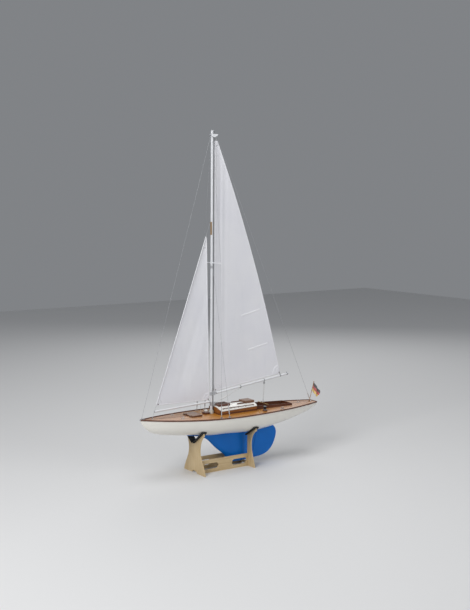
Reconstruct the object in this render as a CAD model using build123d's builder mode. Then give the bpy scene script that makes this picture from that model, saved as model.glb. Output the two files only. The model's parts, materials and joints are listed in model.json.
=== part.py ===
"""A radio-controlled sailing yacht on its plywood cradle.

Frame: +X towards the bow, +Y to port, +Z up. The origin is on the surface the cradle stands on,
midway between the bow and the flag's trailing edge. All sizes are in millimetres.
"""

import os
from math import cos, radians, sin, tan

from build123d import *

os.makedirs("parts", exist_ok=True)

# ---- hull ----
hull_length = 1000.0
beam = 248.0
transom_beam = 56.0
widest_x = 20.0            # station of the widest section, from mid-length
lowest_x = -100.0          # station of the canoe body's lowest point
freeboard_z = 264.0        # deck edge amidships, above the cradle's feet
bow_rise = 21.0            # how much higher the sheer is at the stem
canoe_z = 161.5            # underside of the canoe body at its lowest point
shell_wall = 2.0
deck_thickness = 2.0
deck_camber = 6.0          # crown of the deck at the widest section
rail_width = 2.5
rail_height = 6.0
rail_stand = 3.5           # how far the rail stands above the deck edge
plan_power = 2.2           # fullness of the plan view

# ---- keel and rudder ----
keel_bottom_z = 26.0
keel_thickness = 24.0
keel_wall = 3.0
post_foot = (-118.0, 27.0)  # rudder axis at the keel's heel, x and z
post_rake = 11.5            # lean of the rudder axis, aft, in degrees
stock_radius = 2.0
stock_clearance = 0.05
tube_wall = 1.0
blade_thickness = 9.0
blade_edge = 2.4
arm_radius = 16.0           # pin circle of the rudder arm and of the servo horn
pushrod_length = 80.0

# ---- deck furniture ----
cabin_front_x = 101.0
cabin_aft_x = -112.0
cabin_front_width = 110.0
cabin_aft_width = 104.0
cabin_wall = 3.0
roof_crown_z = 308.0
roof_side_z = 287.0        # height of the roof's arch where it meets its base line
roof_half_chord = 57.0
roof_thickness = 2.0
roof_overhang = 1.0
moulding_height = 7.0
moulding_width = 2.2
cabin_corner = 14.0        # radius of the cabin's front corners
hatch_length = 54.0
hatch_width = 56.0
hatch_travel = 45.0
cockpit_aft_x = -330.0
cockpit_width = 84.0
cockpit_floor_z = 237.0
seat_z = 255.0
coaming_front_z = 290.0
coaming_aft_z = 278.0
fore_hatch_length = 58.0
fore_hatch_width = 84.0
fore_hatch_aft_x = 190.0
fore_hatch_height = 8.0

# ---- rig ----
mast_x = 116.5
mast_rake = 0.4            # lean of the mast, aft, in degrees
mast_length = 1312.0
mast_radius = 6.0
step_height = 12.0
mast_wall = 0.9
groove_offset = 8.2        # luff groove centre behind the mast centre
groove_radius = 3.4
luff_offset = 18.0         # gooseneck pin behind the mast centre
gooseneck_height = 82.0    # above the mast foot
spreader_height = 703.0
spreader_span = 152.0
hounds_height = 895.0
crane_height = 1290.0
boom_length = 438.0
boom_radius = 5.0
boom_rise = 7.0            # upward slope of the main boom, in degrees
vang_height = 34.0
wire_radius = 0.5
sheet_radius = 0.8
sail_thickness = 0.8
roach = 24.0
forestay_foot = (490.0, 293.0)
jib_stay_foot = (435.0, 290.0)
jib_boom_height = 30.0
jib_boom_length = 294.0
jib_boom_radius = 4.5
jib_boom_rise = 12.0
backstay_foot = (-478.0, 268.0)

# ---- cradle ----
frame_thickness = 5.0
fore_frame_x = 209.0
aft_frame_x = -73.0
foot_half_width = 93.0
panel_half_spacing = 36.0
panel_height = 62.0
panel_thickness = 5.0
keel_slot_half = 30.0
slot_foot = 20.0           # solid height left below the keel slot
strip_thickness = 6.0
strip_width = 30.0
seat_gap = 0.8             # between the cradle's pads and the hull

# ---- flag ----
staff_foot_x = -467.0
staff_y = 8.0
staff_radius = 1.25
staff_length = 102.0
staff_rake = 16.5
flag_hoist = 44.0
flag_tip_x = -538.0        # upper fly corner
flag_tip_z = 309.0
flag_corner = (-517.0, 283.0)  # lower fly corner, x and z
flag_thickness = 1.0

bow_x = hull_length / 2
stern_x = -hull_length / 2
origin_x = (bow_x + rail_width + flag_tip_x) / 2
fit = 0.3                  # seating gap between curved faces


def keep(name, *parts):
    """Gather a node's solids, move them to the row's origin and write them out."""
    solids = [solid for part in parts for solid in part.solids()]
    placed = Compound(solids).moved(Location((-origin_x, 0, 0)))
    placed.label = name
    export_step(placed, f"parts/{name}.step")


# ---- hull lines ----
def sheer_z(x):
    """Height of the deck edge."""
    if x > -60:
        return freeboard_z + bow_rise * ((x + 60) / (bow_x + 60)) ** 2
    return freeboard_z - 3 * ((-60 - x) / (bow_x - 60)) ** 2


def half_beam(x):
    """Half breadth of the deck edge."""
    if x > widest_x:
        reach = (x - widest_x) / (bow_x - widest_x)
        return max(beam / 2 * (1 - reach ** plan_power), 0.0)
    reach = (widest_x - x) / (widest_x - stern_x)
    return beam / 2 - (beam - transom_beam) / 2 * reach ** plan_power


def bottom_z(x):
    """Underside of the canoe body on the centreline."""
    if x > lowest_x:
        reach = (x - lowest_x) / (bow_x - lowest_x)
        rise = sheer_z(bow_x) - canoe_z
        return canoe_z + rise * (0.5 * reach ** 1.8 + 0.5 * reach ** 18)
    reach = (lowest_x - x) / (lowest_x - stern_x)
    return canoe_z + 69 * reach ** 1.475 + 9 * reach ** 12


def camber(x):
    """Crown of the deck at a station."""
    return deck_camber * half_beam(x) / (beam / 2)


def deck_z(x, y=0.0):
    """Top of the deck."""
    crown = camber(x) * (1 - (y / max(half_beam(x), 1.0)) ** 2)
    return sheer_z(x) + deck_thickness + crown


def station(x):
    """A plane across the hull, local x to port and local y up."""
    return Plane(origin=(x, 0, 0), x_dir=(0, 1, 0), z_dir=(1, 0, 0))


def side_plane(y):
    """A plane along the hull, local x to the bow and local y up."""
    return Plane(origin=(0, y, 0), x_dir=(1, 0, 0), z_dir=(0, -1, 0))


def section_points(x, inset=0.0, rise=0.0):
    """Control points of the port half section, from the deck edge, or above it, to the centreline."""
    half = half_beam(x) - inset
    top = sheer_z(x)
    low = bottom_z(x) + inset
    depth = top - low
    fineness = 1 - 0.3 * max((x - widest_x) / (bow_x - widest_x), 0.0) ** 3
    return [
        (half * (1 + (1 - 0.98 * fineness) * rise / (0.62 * depth)), top + rise),
        (0.98 * fineness * half, top - 0.62 * depth),
        (0.55 * fineness * half, low + 0.10 * depth),
        (0, low),
    ]


def mirrored(points):
    return [(-y, z) for y, z in reversed(points)]


stations = [stern_x, -450, -380, -300, -210, -110, -10, 90, 190, 280, 360, 420, 460, 484, 497]
inner_stations = [stern_x + shell_wall] + stations[1:13] + [476]

with BuildPart() as hull_solid:
    for x in stations:
        with BuildSketch(station(x)):
            with BuildLine():
                points = section_points(x)
                Bezier(*points)
                Bezier(*mirrored(points))
                Line((-points[0][0], points[0][1]), points[0])
            make_face()
    loft()

with BuildPart() as hull_space:
    for x in inner_stations:
        with BuildSketch(station(x)):
            with BuildLine():
                points = section_points(x, shell_wall, 4)
                half, top = points[0]
                Bezier(*points)
                Bezier(*mirrored(points))
                Polyline((-half, top), (-half, top + 20), (half, top + 20), (half, top))
            make_face()
    loft()

with BuildPart() as hull_shell:
    add(hull_solid.part)
    add(hull_space.part, mode=Mode.SUBTRACT)


def deck_slab(low_offset, high_offset, flat_bottom=None, margin=0.0):
    """The cambered band between two offsets from the deck's underside, or down to a flat bottom."""
    with BuildPart() as slab:
        for x in stations:
            half = half_beam(x) + margin
            rise = camber(x)
            low = sheer_z(x) + low_offset
            high = sheer_z(x) + high_offset
            with BuildSketch(station(x)):
                with BuildLine():
                    ThreePointArc((half, high), (0, high + rise), (-half, high))
                    if flat_bottom is None:
                        Line((-half, high), (-half, low))
                        ThreePointArc((-half, low), (0, low + rise), (half, low))
                        Line((half, low), (half, high))
                    else:
                        Polyline((-half, high), (-half, flat_bottom), (half, flat_bottom), (half, high))
                make_face()
        loft()
    return slab.part


below_deck_top = deck_slab(0, deck_thickness, flat_bottom=150)
below_deck = deck_slab(0, 0, flat_bottom=150)


def outline_solid(points, low, high):
    """A prism over a plan outline."""
    with BuildPart() as prism:
        with BuildSketch(Plane.XY.offset(low)):
            with BuildLine():
                Polyline(*points, close=True)
            make_face()
        extrude(amount=high - low)
    return prism.part


def trapezoid(x_aft, width_aft, x_fore, width_fore, inset=0.0):
    """Corners of a plan outline that tapers along the hull."""
    return [
        (x_aft + inset, width_aft / 2 - inset),
        (x_fore - inset, width_fore / 2 - inset),
        (x_fore - inset, inset - width_fore / 2),
        (x_aft + inset, inset - width_aft / 2),
    ]


def box_between(x0, x1, y0, y1, z0, z1, mode=Mode.ADD):
    """An axis-aligned box from its limits, inside a part context."""
    with Locations(((x0 + x1) / 2, (y0 + y1) / 2, (z0 + z1) / 2)):
        return Box(x1 - x0, y1 - y0, z1 - z0, mode=mode)


def rod(start, end, radius, mode=Mode.ADD):
    """A round rod between two points, inside a part context."""
    axis = Vector(*end) - Vector(*start)
    with BuildSketch(Plane(origin=start, z_dir=axis)) as disc:
        Circle(radius)
    return extrude(disc.sketch, amount=axis.length, mode=mode)


def ring(centre, direction, outer, inner, length, mode=Mode.ADD):
    """A short tube centred on a point."""
    axis = Vector(*direction).normalized()
    start = Vector(*centre) - axis * (length / 2)
    with BuildSketch(Plane(origin=start, z_dir=axis)) as washer:
        Circle(outer)
        Circle(inner, mode=Mode.SUBTRACT)
    return extrude(washer.sketch, amount=length, mode=mode)


cockpit_front_x = cabin_aft_x - cabin_wall
cabin_opening = trapezoid(cabin_aft_x, cabin_aft_width, cabin_front_x, cabin_front_width, cabin_wall + 5)
cockpit_outline = trapezoid(cockpit_aft_x, cockpit_width - 8, cockpit_front_x, cockpit_width)
fore_hatch_fore_x = fore_hatch_aft_x + fore_hatch_length
hatch_opening = trapezoid(fore_hatch_aft_x, fore_hatch_width, fore_hatch_fore_x, fore_hatch_width, 8)

with BuildPart() as deck:
    add(deck_slab(0, deck_thickness))
    for outline in (cabin_opening, cockpit_outline, hatch_opening):
        add(outline_solid(outline, 200, 330), mode=Mode.SUBTRACT)

with BuildPart() as rub_rail:
    for x in stations:
        half = half_beam(x)
        top = sheer_z(x) + deck_thickness
        with BuildSketch(station(x)):
            with Locations((half + rail_width / 2, top + rail_stand - rail_height / 2)):
                Rectangle(rail_width, rail_height)
    loft()
    mirror(about=Plane.XZ)
    box_between(stern_x - rail_width, stern_x, -transom_beam / 2, transom_beam / 2,
                sheer_z(stern_x) + deck_thickness + rail_stand - rail_height,
                sheer_z(stern_x) + deck_thickness + rail_stand)

bulkhead_xs = (165.0, -375.0)
bulkhead_thickness = 3.0
with BuildPart() as bulkheads:
    for x in bulkhead_xs:
        box_between(x, x + bulkhead_thickness, -beam / 2, beam / 2, canoe_z, freeboard_z + 30)
    add(hull_space.part, mode=Mode.INTERSECT)
    add(below_deck, mode=Mode.INTERSECT)
    with Locations(*[Location((x, 0, sheer_z(x) - 30), (0, 90, 0)) for x in bulkhead_xs]):
        Cylinder(14, 20, mode=Mode.SUBTRACT)


# ---- keel, ballast and rudder ----
rake_dir = (-sin(radians(post_rake)), cos(radians(post_rake)))
post_origin = (post_foot[0], 0, post_foot[1])
post_plane = Plane(origin=post_origin, x_dir=(rake_dir[1], 0, -rake_dir[0]),
                   z_dir=(rake_dir[0], 0, rake_dir[1]))
post_gap = blade_thickness / 2 + 0.7


def post_x(z):
    """Station of the rudder axis at a height."""
    return post_foot[0] + (z - post_foot[1]) * rake_dir[0] / rake_dir[1]


def post_point(height, ahead=0.0, side=0.0):
    """A point measured along the rudder axis from the keel's heel."""
    point = post_plane.from_local_coords((ahead, side, height))
    return (point.X, point.Y, point.Z)


keel_edge = [(26, 16), (52, 36), (84, 69), (114, 104), (157, 151), (172, 190), (190, 262)]


def keel_solid(levels, half_thickness, inset):
    """The keel's lens-shaped sections, lofted between heights."""
    with BuildPart() as fin:
        for z, nose in levels:
            tail = post_x(z) + post_gap / rake_dir[1] + inset
            front = nose - inset
            chord = front - tail
            blunt = (blade_thickness / 2 + 0.5) * half_thickness / (keel_thickness / 2)
            with BuildSketch(Plane.XY.offset(z)):
                with BuildLine():
                    Bezier((front, 0), (front, 1.1 * half_thickness),
                           (front - 0.5 * chord, 1.35 * half_thickness), (tail, blunt))
                    Line((tail, blunt), (tail, -blunt))
                    Bezier((tail, -blunt), (front - 0.5 * chord, -1.35 * half_thickness),
                           (front, -1.1 * half_thickness), (front, 0))
                make_face()
        loft()
    return fin.part


ballast_top_z = 120.0
ballast_levels = [(keel_bottom_z + keel_wall, 12), (52, 32), (84, 64), (ballast_top_z, 106)]
with BuildPart() as keel_ballast:
    add(keel_solid(ballast_levels, keel_thickness / 2 - keel_wall, 2 * keel_wall))

with BuildPart() as keel_fin:
    add(keel_solid(keel_edge, keel_thickness / 2, 0))
    add(hull_solid.part, mode=Mode.SUBTRACT)
    add(keel_ballast.part, mode=Mode.SUBTRACT)

tube_foot = 137.5
tube_top = 188.0
with BuildPart() as rudder_tube:
    ring(post_point((tube_foot + tube_top) / 2), post_plane.z_dir, stock_radius + tube_wall,
         stock_radius + stock_clearance, tube_top - tube_foot)

with BuildPart() as bored_shell:
    add(hull_shell.part)
    rod(post_point(tube_foot - 20), post_point(tube_top), stock_radius + tube_wall, mode=Mode.SUBTRACT)

blade_outline = [(-132, 27.5), (-156, 29), (-201, 39), (-237, 67), (-257, 105), (-263, 138), (-247, 170)]
stock_top = tube_top + 9
blade_top = 134.0
with BuildPart() as rudder_blade:
    with BuildSketch(side_plane(blade_thickness / 2)):
        with BuildLine():
            heel = (post_foot[0], 27.5)
            head = (post_point(blade_top)[0], post_point(blade_top)[2])
            Line(heel, blade_outline[0])
            Spline(*blade_outline)
            Line(blade_outline[-1], head)
            Line(head, heel)
        make_face()
    extrude(amount=blade_thickness)
    with BuildSketch(post_plane.offset(-30)):
        with BuildLine():
            Polyline((20, blade_thickness / 2), (0, blade_thickness / 2), (-150, blade_edge / 2),
                     (-150, -blade_edge / 2), (0, -blade_thickness / 2), (20, -blade_thickness / 2),
                     close=True)
        make_face()
    extrude(amount=240, mode=Mode.INTERSECT)
    rod(post_point(1), post_point(blade_top), blade_thickness / 2)
    rod(post_point(20), post_point(blade_top + 1), stock_radius, mode=Mode.SUBTRACT)

with BuildPart() as rudder_stock:
    rod(post_point(20), post_point(stock_top), stock_radius)

arm_height = tube_top + 3.5
arm_thickness = 2.4
pin_radius = 0.8
with BuildPart() as rudder_arm:
    ring(post_point(arm_height), post_plane.z_dir, 5, stock_radius, 5)
    with BuildSketch(post_plane.offset(arm_height - arm_thickness / 2)):
        with Locations((0, -arm_radius / 2 - 1.5)):
            Rectangle(5, arm_radius - 2)
        with Locations((0, -arm_radius)):
            Circle(3)
        with Locations((0, -arm_radius)):
            Circle(pin_radius + stock_clearance, mode=Mode.SUBTRACT)
    extrude(amount=arm_thickness)

servo_length = 40.5
servo_width = 20.0
servo_height = 37.0
horn_height = arm_height
servo_top = horn_height - 7
flange_height = servo_top - 9
with BuildPart() as rudder_servo:
    with BuildSketch(post_plane.offset(servo_top - servo_height)):
        with Locations((pushrod_length + 10, 0)):
            RectangleRounded(servo_length, servo_width, 1.5)
    extrude(amount=servo_height)
    with BuildSketch(post_plane.offset(flange_height)):
        with Locations((pushrod_length + 10, 0)):
            Rectangle(servo_length + 14, servo_width - 2)
    extrude(amount=2.5)
    rod(post_point(servo_top, pushrod_length), post_point(servo_top + 4, pushrod_length), 3)

with BuildPart() as servo_horn:
    rod(post_point(servo_top + 4.1, pushrod_length), post_point(horn_height + 2, pushrod_length), 5)
    with BuildSketch(post_plane.offset(horn_height - arm_thickness / 2)):
        with Locations((pushrod_length, -arm_radius / 2)):
            Rectangle(5, arm_radius)
        with Locations((pushrod_length, -arm_radius)):
            Circle(3)
    extrude(amount=arm_thickness)
    rod(post_point(horn_height - 5, pushrod_length, -arm_radius),
        post_point(horn_height + 5, pushrod_length, -arm_radius), pin_radius + stock_clearance,
        mode=Mode.SUBTRACT)

rod_height = arm_height + 3.2
with BuildPart() as pushrod:
    rod(post_point(rod_height, 0, -arm_radius), post_point(rod_height, pushrod_length, -arm_radius), 1)
    for ahead in (0, pushrod_length):
        rod(post_point(arm_height - 2.5, ahead, -arm_radius), post_point(rod_height + 1, ahead, -arm_radius),
            pin_radius)
        rod(post_point(rod_height - 1.6, ahead, -arm_radius),
            post_point(rod_height + 1.6, ahead, -arm_radius), 2.4)

mount_plate = 3.0
with BuildPart() as servo_mount:
    with BuildSketch(post_plane.offset(flange_height - mount_plate)):
        with Locations((pushrod_length + 10, 0)):
            Rectangle(servo_length + 22, 62)
        with Locations((pushrod_length + 10, 0)):
            Rectangle(servo_length + 0.6, servo_width + 0.6, mode=Mode.SUBTRACT)
    extrude(amount=mount_plate)
    for side in (-1, 1):
        with BuildSketch(post_plane.offset(60)):
            with Locations((pushrod_length + 10, side * 27)):
                Rectangle(servo_length + 22, 4)
        extrude(amount=flange_height - mount_plate - 60)
    add(hull_space.part, mode=Mode.INTERSECT)


# ---- winch, receiver and battery on the tray ----
tray_z = 206.0
tray_thickness = 3.0
tray_aft_x = -28.0
tray_fore_x = 86.0
winch_x = 10.0
winch_length = 46.0
winch_width = 23.0
winch_drop = 28.0
winch_rise = 14.0
drum_radius = 19.0
with BuildPart() as radio_tray:
    box_between(tray_aft_x, tray_fore_x, -beam / 2, beam / 2, tray_z, tray_z + tray_thickness)
    add(hull_space.part, mode=Mode.INTERSECT)
    box_between(winch_x - winch_length / 2 - fit, winch_x + winch_length / 2 + fit, -winch_width / 2 - fit,
                winch_width / 2 + fit, tray_z - 1, tray_z + tray_thickness + 1, mode=Mode.SUBTRACT)

tray_top = tray_z + tray_thickness
with BuildPart() as sail_winch:
    box_between(winch_x - winch_length / 2, winch_x + winch_length / 2, -winch_width / 2, winch_width / 2,
                tray_z - winch_drop, tray_top + winch_rise)
    box_between(winch_x - winch_length / 2 - 8, winch_x + winch_length / 2 + 8, -winch_width / 2 + 1,
                winch_width / 2 - 1, tray_top, tray_top + 3)
    rod((winch_x - 10, 0, tray_top + winch_rise), (winch_x - 10, 0, tray_top + winch_rise + 12), 3)

drum_z = tray_top + winch_rise + 0.6
with BuildPart() as winch_drum:
    with BuildSketch(Plane(origin=(winch_x - 10, 0, drum_z), x_dir=(1, 0, 0), z_dir=(0, -1, 0))):
        with BuildLine():
            Polyline((3.05, 0), (drum_radius, 0), (drum_radius, 2), (drum_radius - 4, 4.5),
                     (drum_radius, 7), (drum_radius, 9), (3.05, 9), close=True)
        make_face()
    revolve(axis=Axis((winch_x - 10, 0, drum_z), (0, 0, 1)))

receiver_x = 46.0
receiver_y = 18.0
receiver_length = 32.0
receiver_width = 44.0
receiver_height = 13.0
with BuildPart() as receiver:
    box_between(receiver_x, receiver_x + receiver_length, receiver_y, receiver_y + receiver_width,
                tray_top, tray_top + receiver_height)
    fillet(receiver.edges().filter_by(Axis.Z), 2)

cell_x = 48.0
cell_y = -20.0
cell_length = 50.0
cell_radius = 7.2
with BuildPart() as battery_pack:
    for x in (cell_x, cell_x + 2 * cell_radius):
        rod((x, cell_y - cell_length, tray_top + cell_radius), (x, cell_y, tray_top + cell_radius), cell_radius)
    box_between(cell_x, cell_x + 2 * cell_radius, cell_y - cell_length, cell_y, tray_top, tray_top + 10)


# ---- cabin ----
arch_side_y = 48.0
arch_control_z = (4 * roof_crown_z - roof_side_z) / 3


def below_roof(drop, x0=cabin_aft_x - 40, x1=cabin_front_x + 20):
    """Everything under the roof's arched top face lowered by a drop."""
    half = roof_half_chord
    with BuildPart() as block:
        with BuildSketch(station(x0)):
            with BuildLine():
                Bezier((half, roof_side_z - drop), (arch_side_y, arch_control_z - drop),
                       (-arch_side_y, arch_control_z - drop), (-half, roof_side_z - drop))
                Polyline((-half, roof_side_z - drop), (-half, 200), (half, 200), (half, roof_side_z - drop))
            make_face()
        extrude(amount=x1 - x0)
    return block.part


cabin_plan = (cabin_aft_x, cabin_aft_width, cabin_front_x, cabin_front_width)
door_width = 36.0
with BuildPart() as cabin_sides:
    with BuildSketch(Plane.XY.offset(240)):
        with BuildLine():
            Polyline(*trapezoid(*cabin_plan), close=True)
        make_face()
        fillet(vertices().sort_by(Axis.X)[-2:], cabin_corner)
        with BuildLine():
            Polyline(*trapezoid(*cabin_plan, inset=cabin_wall), close=True)
        make_face(mode=Mode.SUBTRACT)
    extrude(amount=100)
    add(below_roof(roof_thickness), mode=Mode.INTERSECT)
    add(below_deck_top, mode=Mode.SUBTRACT)
    box_between(cabin_aft_x - 1, cabin_aft_x + cabin_wall + 1, -door_width / 2, door_width / 2, 240, 340,
                mode=Mode.SUBTRACT)

with BuildPart() as cabin_moulding:
    moulding_top = deck_z(0, cabin_aft_width / 2) + moulding_height
    for outset, operation in ((moulding_width, Mode.ADD), (0, Mode.SUBTRACT)):
        with BuildSketch(Plane.XY.offset(240)) as plan:
            with BuildLine():
                Polyline(*trapezoid(*cabin_plan, inset=-outset), close=True)
            make_face()
            fillet(vertices().sort_by(Axis.X)[-2:], cabin_corner + outset)
        extrude(plan.sketch, amount=moulding_top - 240, mode=operation)
    add(below_deck_top, mode=Mode.SUBTRACT)
    box_between(cabin_aft_x - 10, cabin_aft_x + 0.01, -beam / 2, beam / 2, 240, 340, mode=Mode.SUBTRACT)

with BuildPart() as washboards:
    box_between(cabin_aft_x, cabin_aft_x + cabin_wall, -door_width / 2, door_width / 2,
                240, roof_crown_z)
    add(below_roof(roof_thickness), mode=Mode.INTERSECT)
    add(below_deck_top, mode=Mode.SUBTRACT)

hatch_aft_x = cabin_aft_x - 2
hatch_fore_x = hatch_aft_x + hatch_length
hatchway_width = 36.0
skylight_aft_x = 26.0
skylight_fore_x = 90.0
skylight_width = 52.0
with BuildPart() as coachroof:
    with BuildSketch(Plane.XY.offset(260)):
        with BuildLine():
            Polyline(*trapezoid(cabin_aft_x - roof_overhang, cabin_aft_width + 2 * roof_overhang,
                                cabin_front_x + roof_overhang, cabin_front_width + 2 * roof_overhang),
                     close=True)
        make_face()
        fillet(vertices().sort_by(Axis.X)[-2:], cabin_corner + 2 * roof_overhang)
        fillet(vertices().sort_by(Axis.X)[:2], 3)
    extrude(amount=80)
    add(below_roof(0), mode=Mode.INTERSECT)
    add(below_roof(roof_thickness), mode=Mode.SUBTRACT)
    box_between(cabin_aft_x + cabin_wall + 1, hatch_fore_x - 8, -hatchway_width / 2, hatchway_width / 2,
                260, 340, mode=Mode.SUBTRACT)
    box_between(skylight_aft_x + 6, skylight_fore_x - 6, -skylight_width / 2 + 6, skylight_width / 2 - 6,
                260, 340, mode=Mode.SUBTRACT)

runner_height = 3.0
runner_inner_y = hatch_width / 2 - 5
with BuildPart() as hatch_runners:
    for side in (-1, 1):
        edge = sorted((side * runner_inner_y, side * (runner_inner_y + 3)))
        box_between(cabin_aft_x, hatch_fore_x + hatch_travel, edge[0], edge[1], 290,
                    roof_crown_z + runner_height)
    add(below_roof(0), mode=Mode.SUBTRACT)

hatch_top_z = roof_crown_z + runner_height + 6
with BuildPart() as companion_hatch:
    box_between(hatch_aft_x, hatch_fore_x, -hatch_width / 2, hatch_width / 2,
                roof_crown_z + runner_height - 6, hatch_top_z)
    fillet(companion_hatch.edges().filter_by(Axis.Z), 2)
    fillet(companion_hatch.faces().sort_by(Axis.Z)[-1].edges(), 1.2)
    box_between(hatch_aft_x + 2.5, hatch_fore_x - 2.5, -hatch_width / 2 + 1.6, hatch_width / 2 - 1.6,
                roof_crown_z - 10, roof_crown_z + runner_height + fit, mode=Mode.SUBTRACT)
    for side in (-1, 1):
        edge = sorted((side * (runner_inner_y - fit), side * (runner_inner_y + 3 + fit)))
        box_between(hatch_aft_x - 1, hatch_fore_x + 1, edge[0], edge[1], roof_crown_z - 10,
                    roof_crown_z + runner_height + fit, mode=Mode.SUBTRACT)
    add(below_roof(-fit), mode=Mode.SUBTRACT)

skylight_height = 8.0
with BuildPart() as skylight_frame:
    box_between(skylight_aft_x, skylight_fore_x, -skylight_width / 2, skylight_width / 2,
                290, roof_crown_z + skylight_height)
    box_between(skylight_aft_x + 5, skylight_fore_x - 5, -skylight_width / 2 + 5, -2.5, 280, 340,
                mode=Mode.SUBTRACT)
    box_between(skylight_aft_x + 5, skylight_fore_x - 5, 2.5, skylight_width / 2 - 5, 280, 340,
                mode=Mode.SUBTRACT)
    add(below_roof(0), mode=Mode.SUBTRACT)
with BuildPart() as skylight_glass:
    for side in (-1, 1):
        edge = sorted((side * 2.5, side * (skylight_width / 2 - 5)))
        box_between(skylight_aft_x + 5, skylight_fore_x - 5, edge[0], edge[1],
                    roof_crown_z + skylight_height - 3, roof_crown_z + skylight_height - 1.5)

handrail_y = 50.0
handrail_z = 300.5
with BuildPart() as handrails:
    for side in (-1, 1):
        rod((-96, side * (handrail_y - 2), handrail_z), (84, side * handrail_y, handrail_z), 1.5)
        for step in range(5):
            x = -92 + 43 * step
            rod((x, side * (handrail_y - 1), 285), (x, side * (handrail_y - 1), handrail_z), 1.8)
    add(below_roof(0), mode=Mode.SUBTRACT)


# ---- cockpit ----
well_wall = 2.0
with BuildPart() as cockpit_well:
    add(outline_solid(cockpit_outline, cockpit_floor_z - well_wall, 300))
    add(outline_solid(trapezoid(cockpit_aft_x, cockpit_width - 8, cockpit_front_x, cockpit_width, well_wall),
                      cockpit_floor_z, 310), mode=Mode.SUBTRACT)
    add(below_deck_top, mode=Mode.INTERSECT)

seat_width = 17.0
with BuildPart() as cockpit_seats:
    for side in (-1, 1):
        outer = cockpit_width / 2 - well_wall - 4
        edge = sorted((side * outer, side * (outer - seat_width)))
        box_between(cockpit_aft_x + 3, cockpit_front_x - 3, edge[0], edge[1], cockpit_floor_z, seat_z)

grating_half = cockpit_width / 2 - well_wall - 4 - seat_width - 1
slat_pitch = 12.0
with BuildPart() as cockpit_grating:
    for row in range(3):
        y = (row - 1) * (grating_half - 2)
        box_between(cockpit_aft_x + 4, cockpit_front_x - 4, y - 2, y + 2, cockpit_floor_z, cockpit_floor_z + 2)
    for row in range(int((cockpit_front_x - cockpit_aft_x - 12) / slat_pitch)):
        x = cockpit_aft_x + 6 + slat_pitch * row
        box_between(x, x + 4, -grating_half, grating_half, cockpit_floor_z, cockpit_floor_z + 2)

coaming_wall = 3.0
with BuildPart() as cockpit_coamings:
    outer = trapezoid(cockpit_aft_x - coaming_wall, cockpit_width - 8 + 2 * coaming_wall, cabin_aft_x,
                      cockpit_width + 2 * coaming_wall)
    add(outline_solid(outer, 250, 330))
    inner = trapezoid(cockpit_aft_x, cockpit_width - 8, cabin_aft_x + 10, cockpit_width + 0.5)
    add(outline_solid(inner, 240, 340), mode=Mode.SUBTRACT)
    with BuildSketch(side_plane(beam / 2)):
        with BuildLine():
            Polyline((cabin_aft_x, 240), (cabin_aft_x, coaming_front_z), (cockpit_aft_x - 10, coaming_aft_z),
                     (cockpit_aft_x - 10, 240), close=True)
        make_face()
    extrude(amount=beam, mode=Mode.INTERSECT)
    add(below_deck_top, mode=Mode.SUBTRACT)


def coaming_z(x):
    """Top of the coamings."""
    share = (cabin_aft_x - x) / (cabin_aft_x - cockpit_aft_x + 10)
    return coaming_front_z + (coaming_aft_z - coaming_front_z) * share


horse_x = -185.0
horse_half = cockpit_width / 2 - 1
horse_z = coaming_z(horse_x) + 3
with BuildPart() as sheet_horse:
    rod((horse_x, -horse_half - 2.5, horse_z), (horse_x, horse_half + 2.5, horse_z), 1.5)
    for side in (-1, 1):
        rod((horse_x, side * horse_half, coaming_z(horse_x) - 2), (horse_x, side * horse_half, horse_z), 1.6)
    with BuildSketch(side_plane(beam / 2)):
        with BuildLine():
            Polyline((cabin_aft_x, 200), (cabin_aft_x, coaming_front_z), (cockpit_aft_x - 10, coaming_aft_z),
                     (cockpit_aft_x - 10, 200), close=True)
        make_face()
    extrude(amount=beam, mode=Mode.SUBTRACT)


# ---- deck fittings ----
with BuildPart() as hatch_coaming:
    add(outline_solid(trapezoid(fore_hatch_aft_x, fore_hatch_width, fore_hatch_fore_x, fore_hatch_width, 1.5),
                      250, deck_z(fore_hatch_aft_x) + fore_hatch_height - 3))
    add(outline_solid(trapezoid(fore_hatch_aft_x, fore_hatch_width, fore_hatch_fore_x, fore_hatch_width, 5),
                      240, 330), mode=Mode.SUBTRACT)
    add(below_deck_top, mode=Mode.SUBTRACT)

lid_z = deck_z(fore_hatch_aft_x) + fore_hatch_height - 3
hinge_x = fore_hatch_fore_x + 1.5
hinge_z = lid_z + 1.5
knuckle_radius = 1.6
with BuildPart() as fore_hatch_lid:
    box_between(fore_hatch_aft_x, fore_hatch_fore_x - 1, -fore_hatch_width / 2, fore_hatch_width / 2,
                lid_z, lid_z + 3)
    fillet(fore_hatch_lid.edges().filter_by(Axis.Z), 2)
    for side in (-1, 1):
        box_between(fore_hatch_fore_x - 8, hinge_x, side * 25 - 5, side * 25 + 5, lid_z + 3, lid_z + 3.8)
        ring((hinge_x, side * 25, hinge_z), (0, 1, 0), knuckle_radius + 0.7, 0.85, 10)

with BuildPart() as hatch_hinge_pins:
    for side in (-1, 1):
        rod((hinge_x, side * 25 - 9, hinge_z), (hinge_x, side * 25 + 9, hinge_z), 0.8)
        for end in (-1, 1):
            y = side * 25 + end * 7.5
            box_between(hinge_x - 1.4, hinge_x + 1.4, y - 1.5, y + 1.5, 260, hinge_z + 1.4)
    add(below_deck_top, mode=Mode.SUBTRACT)

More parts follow.
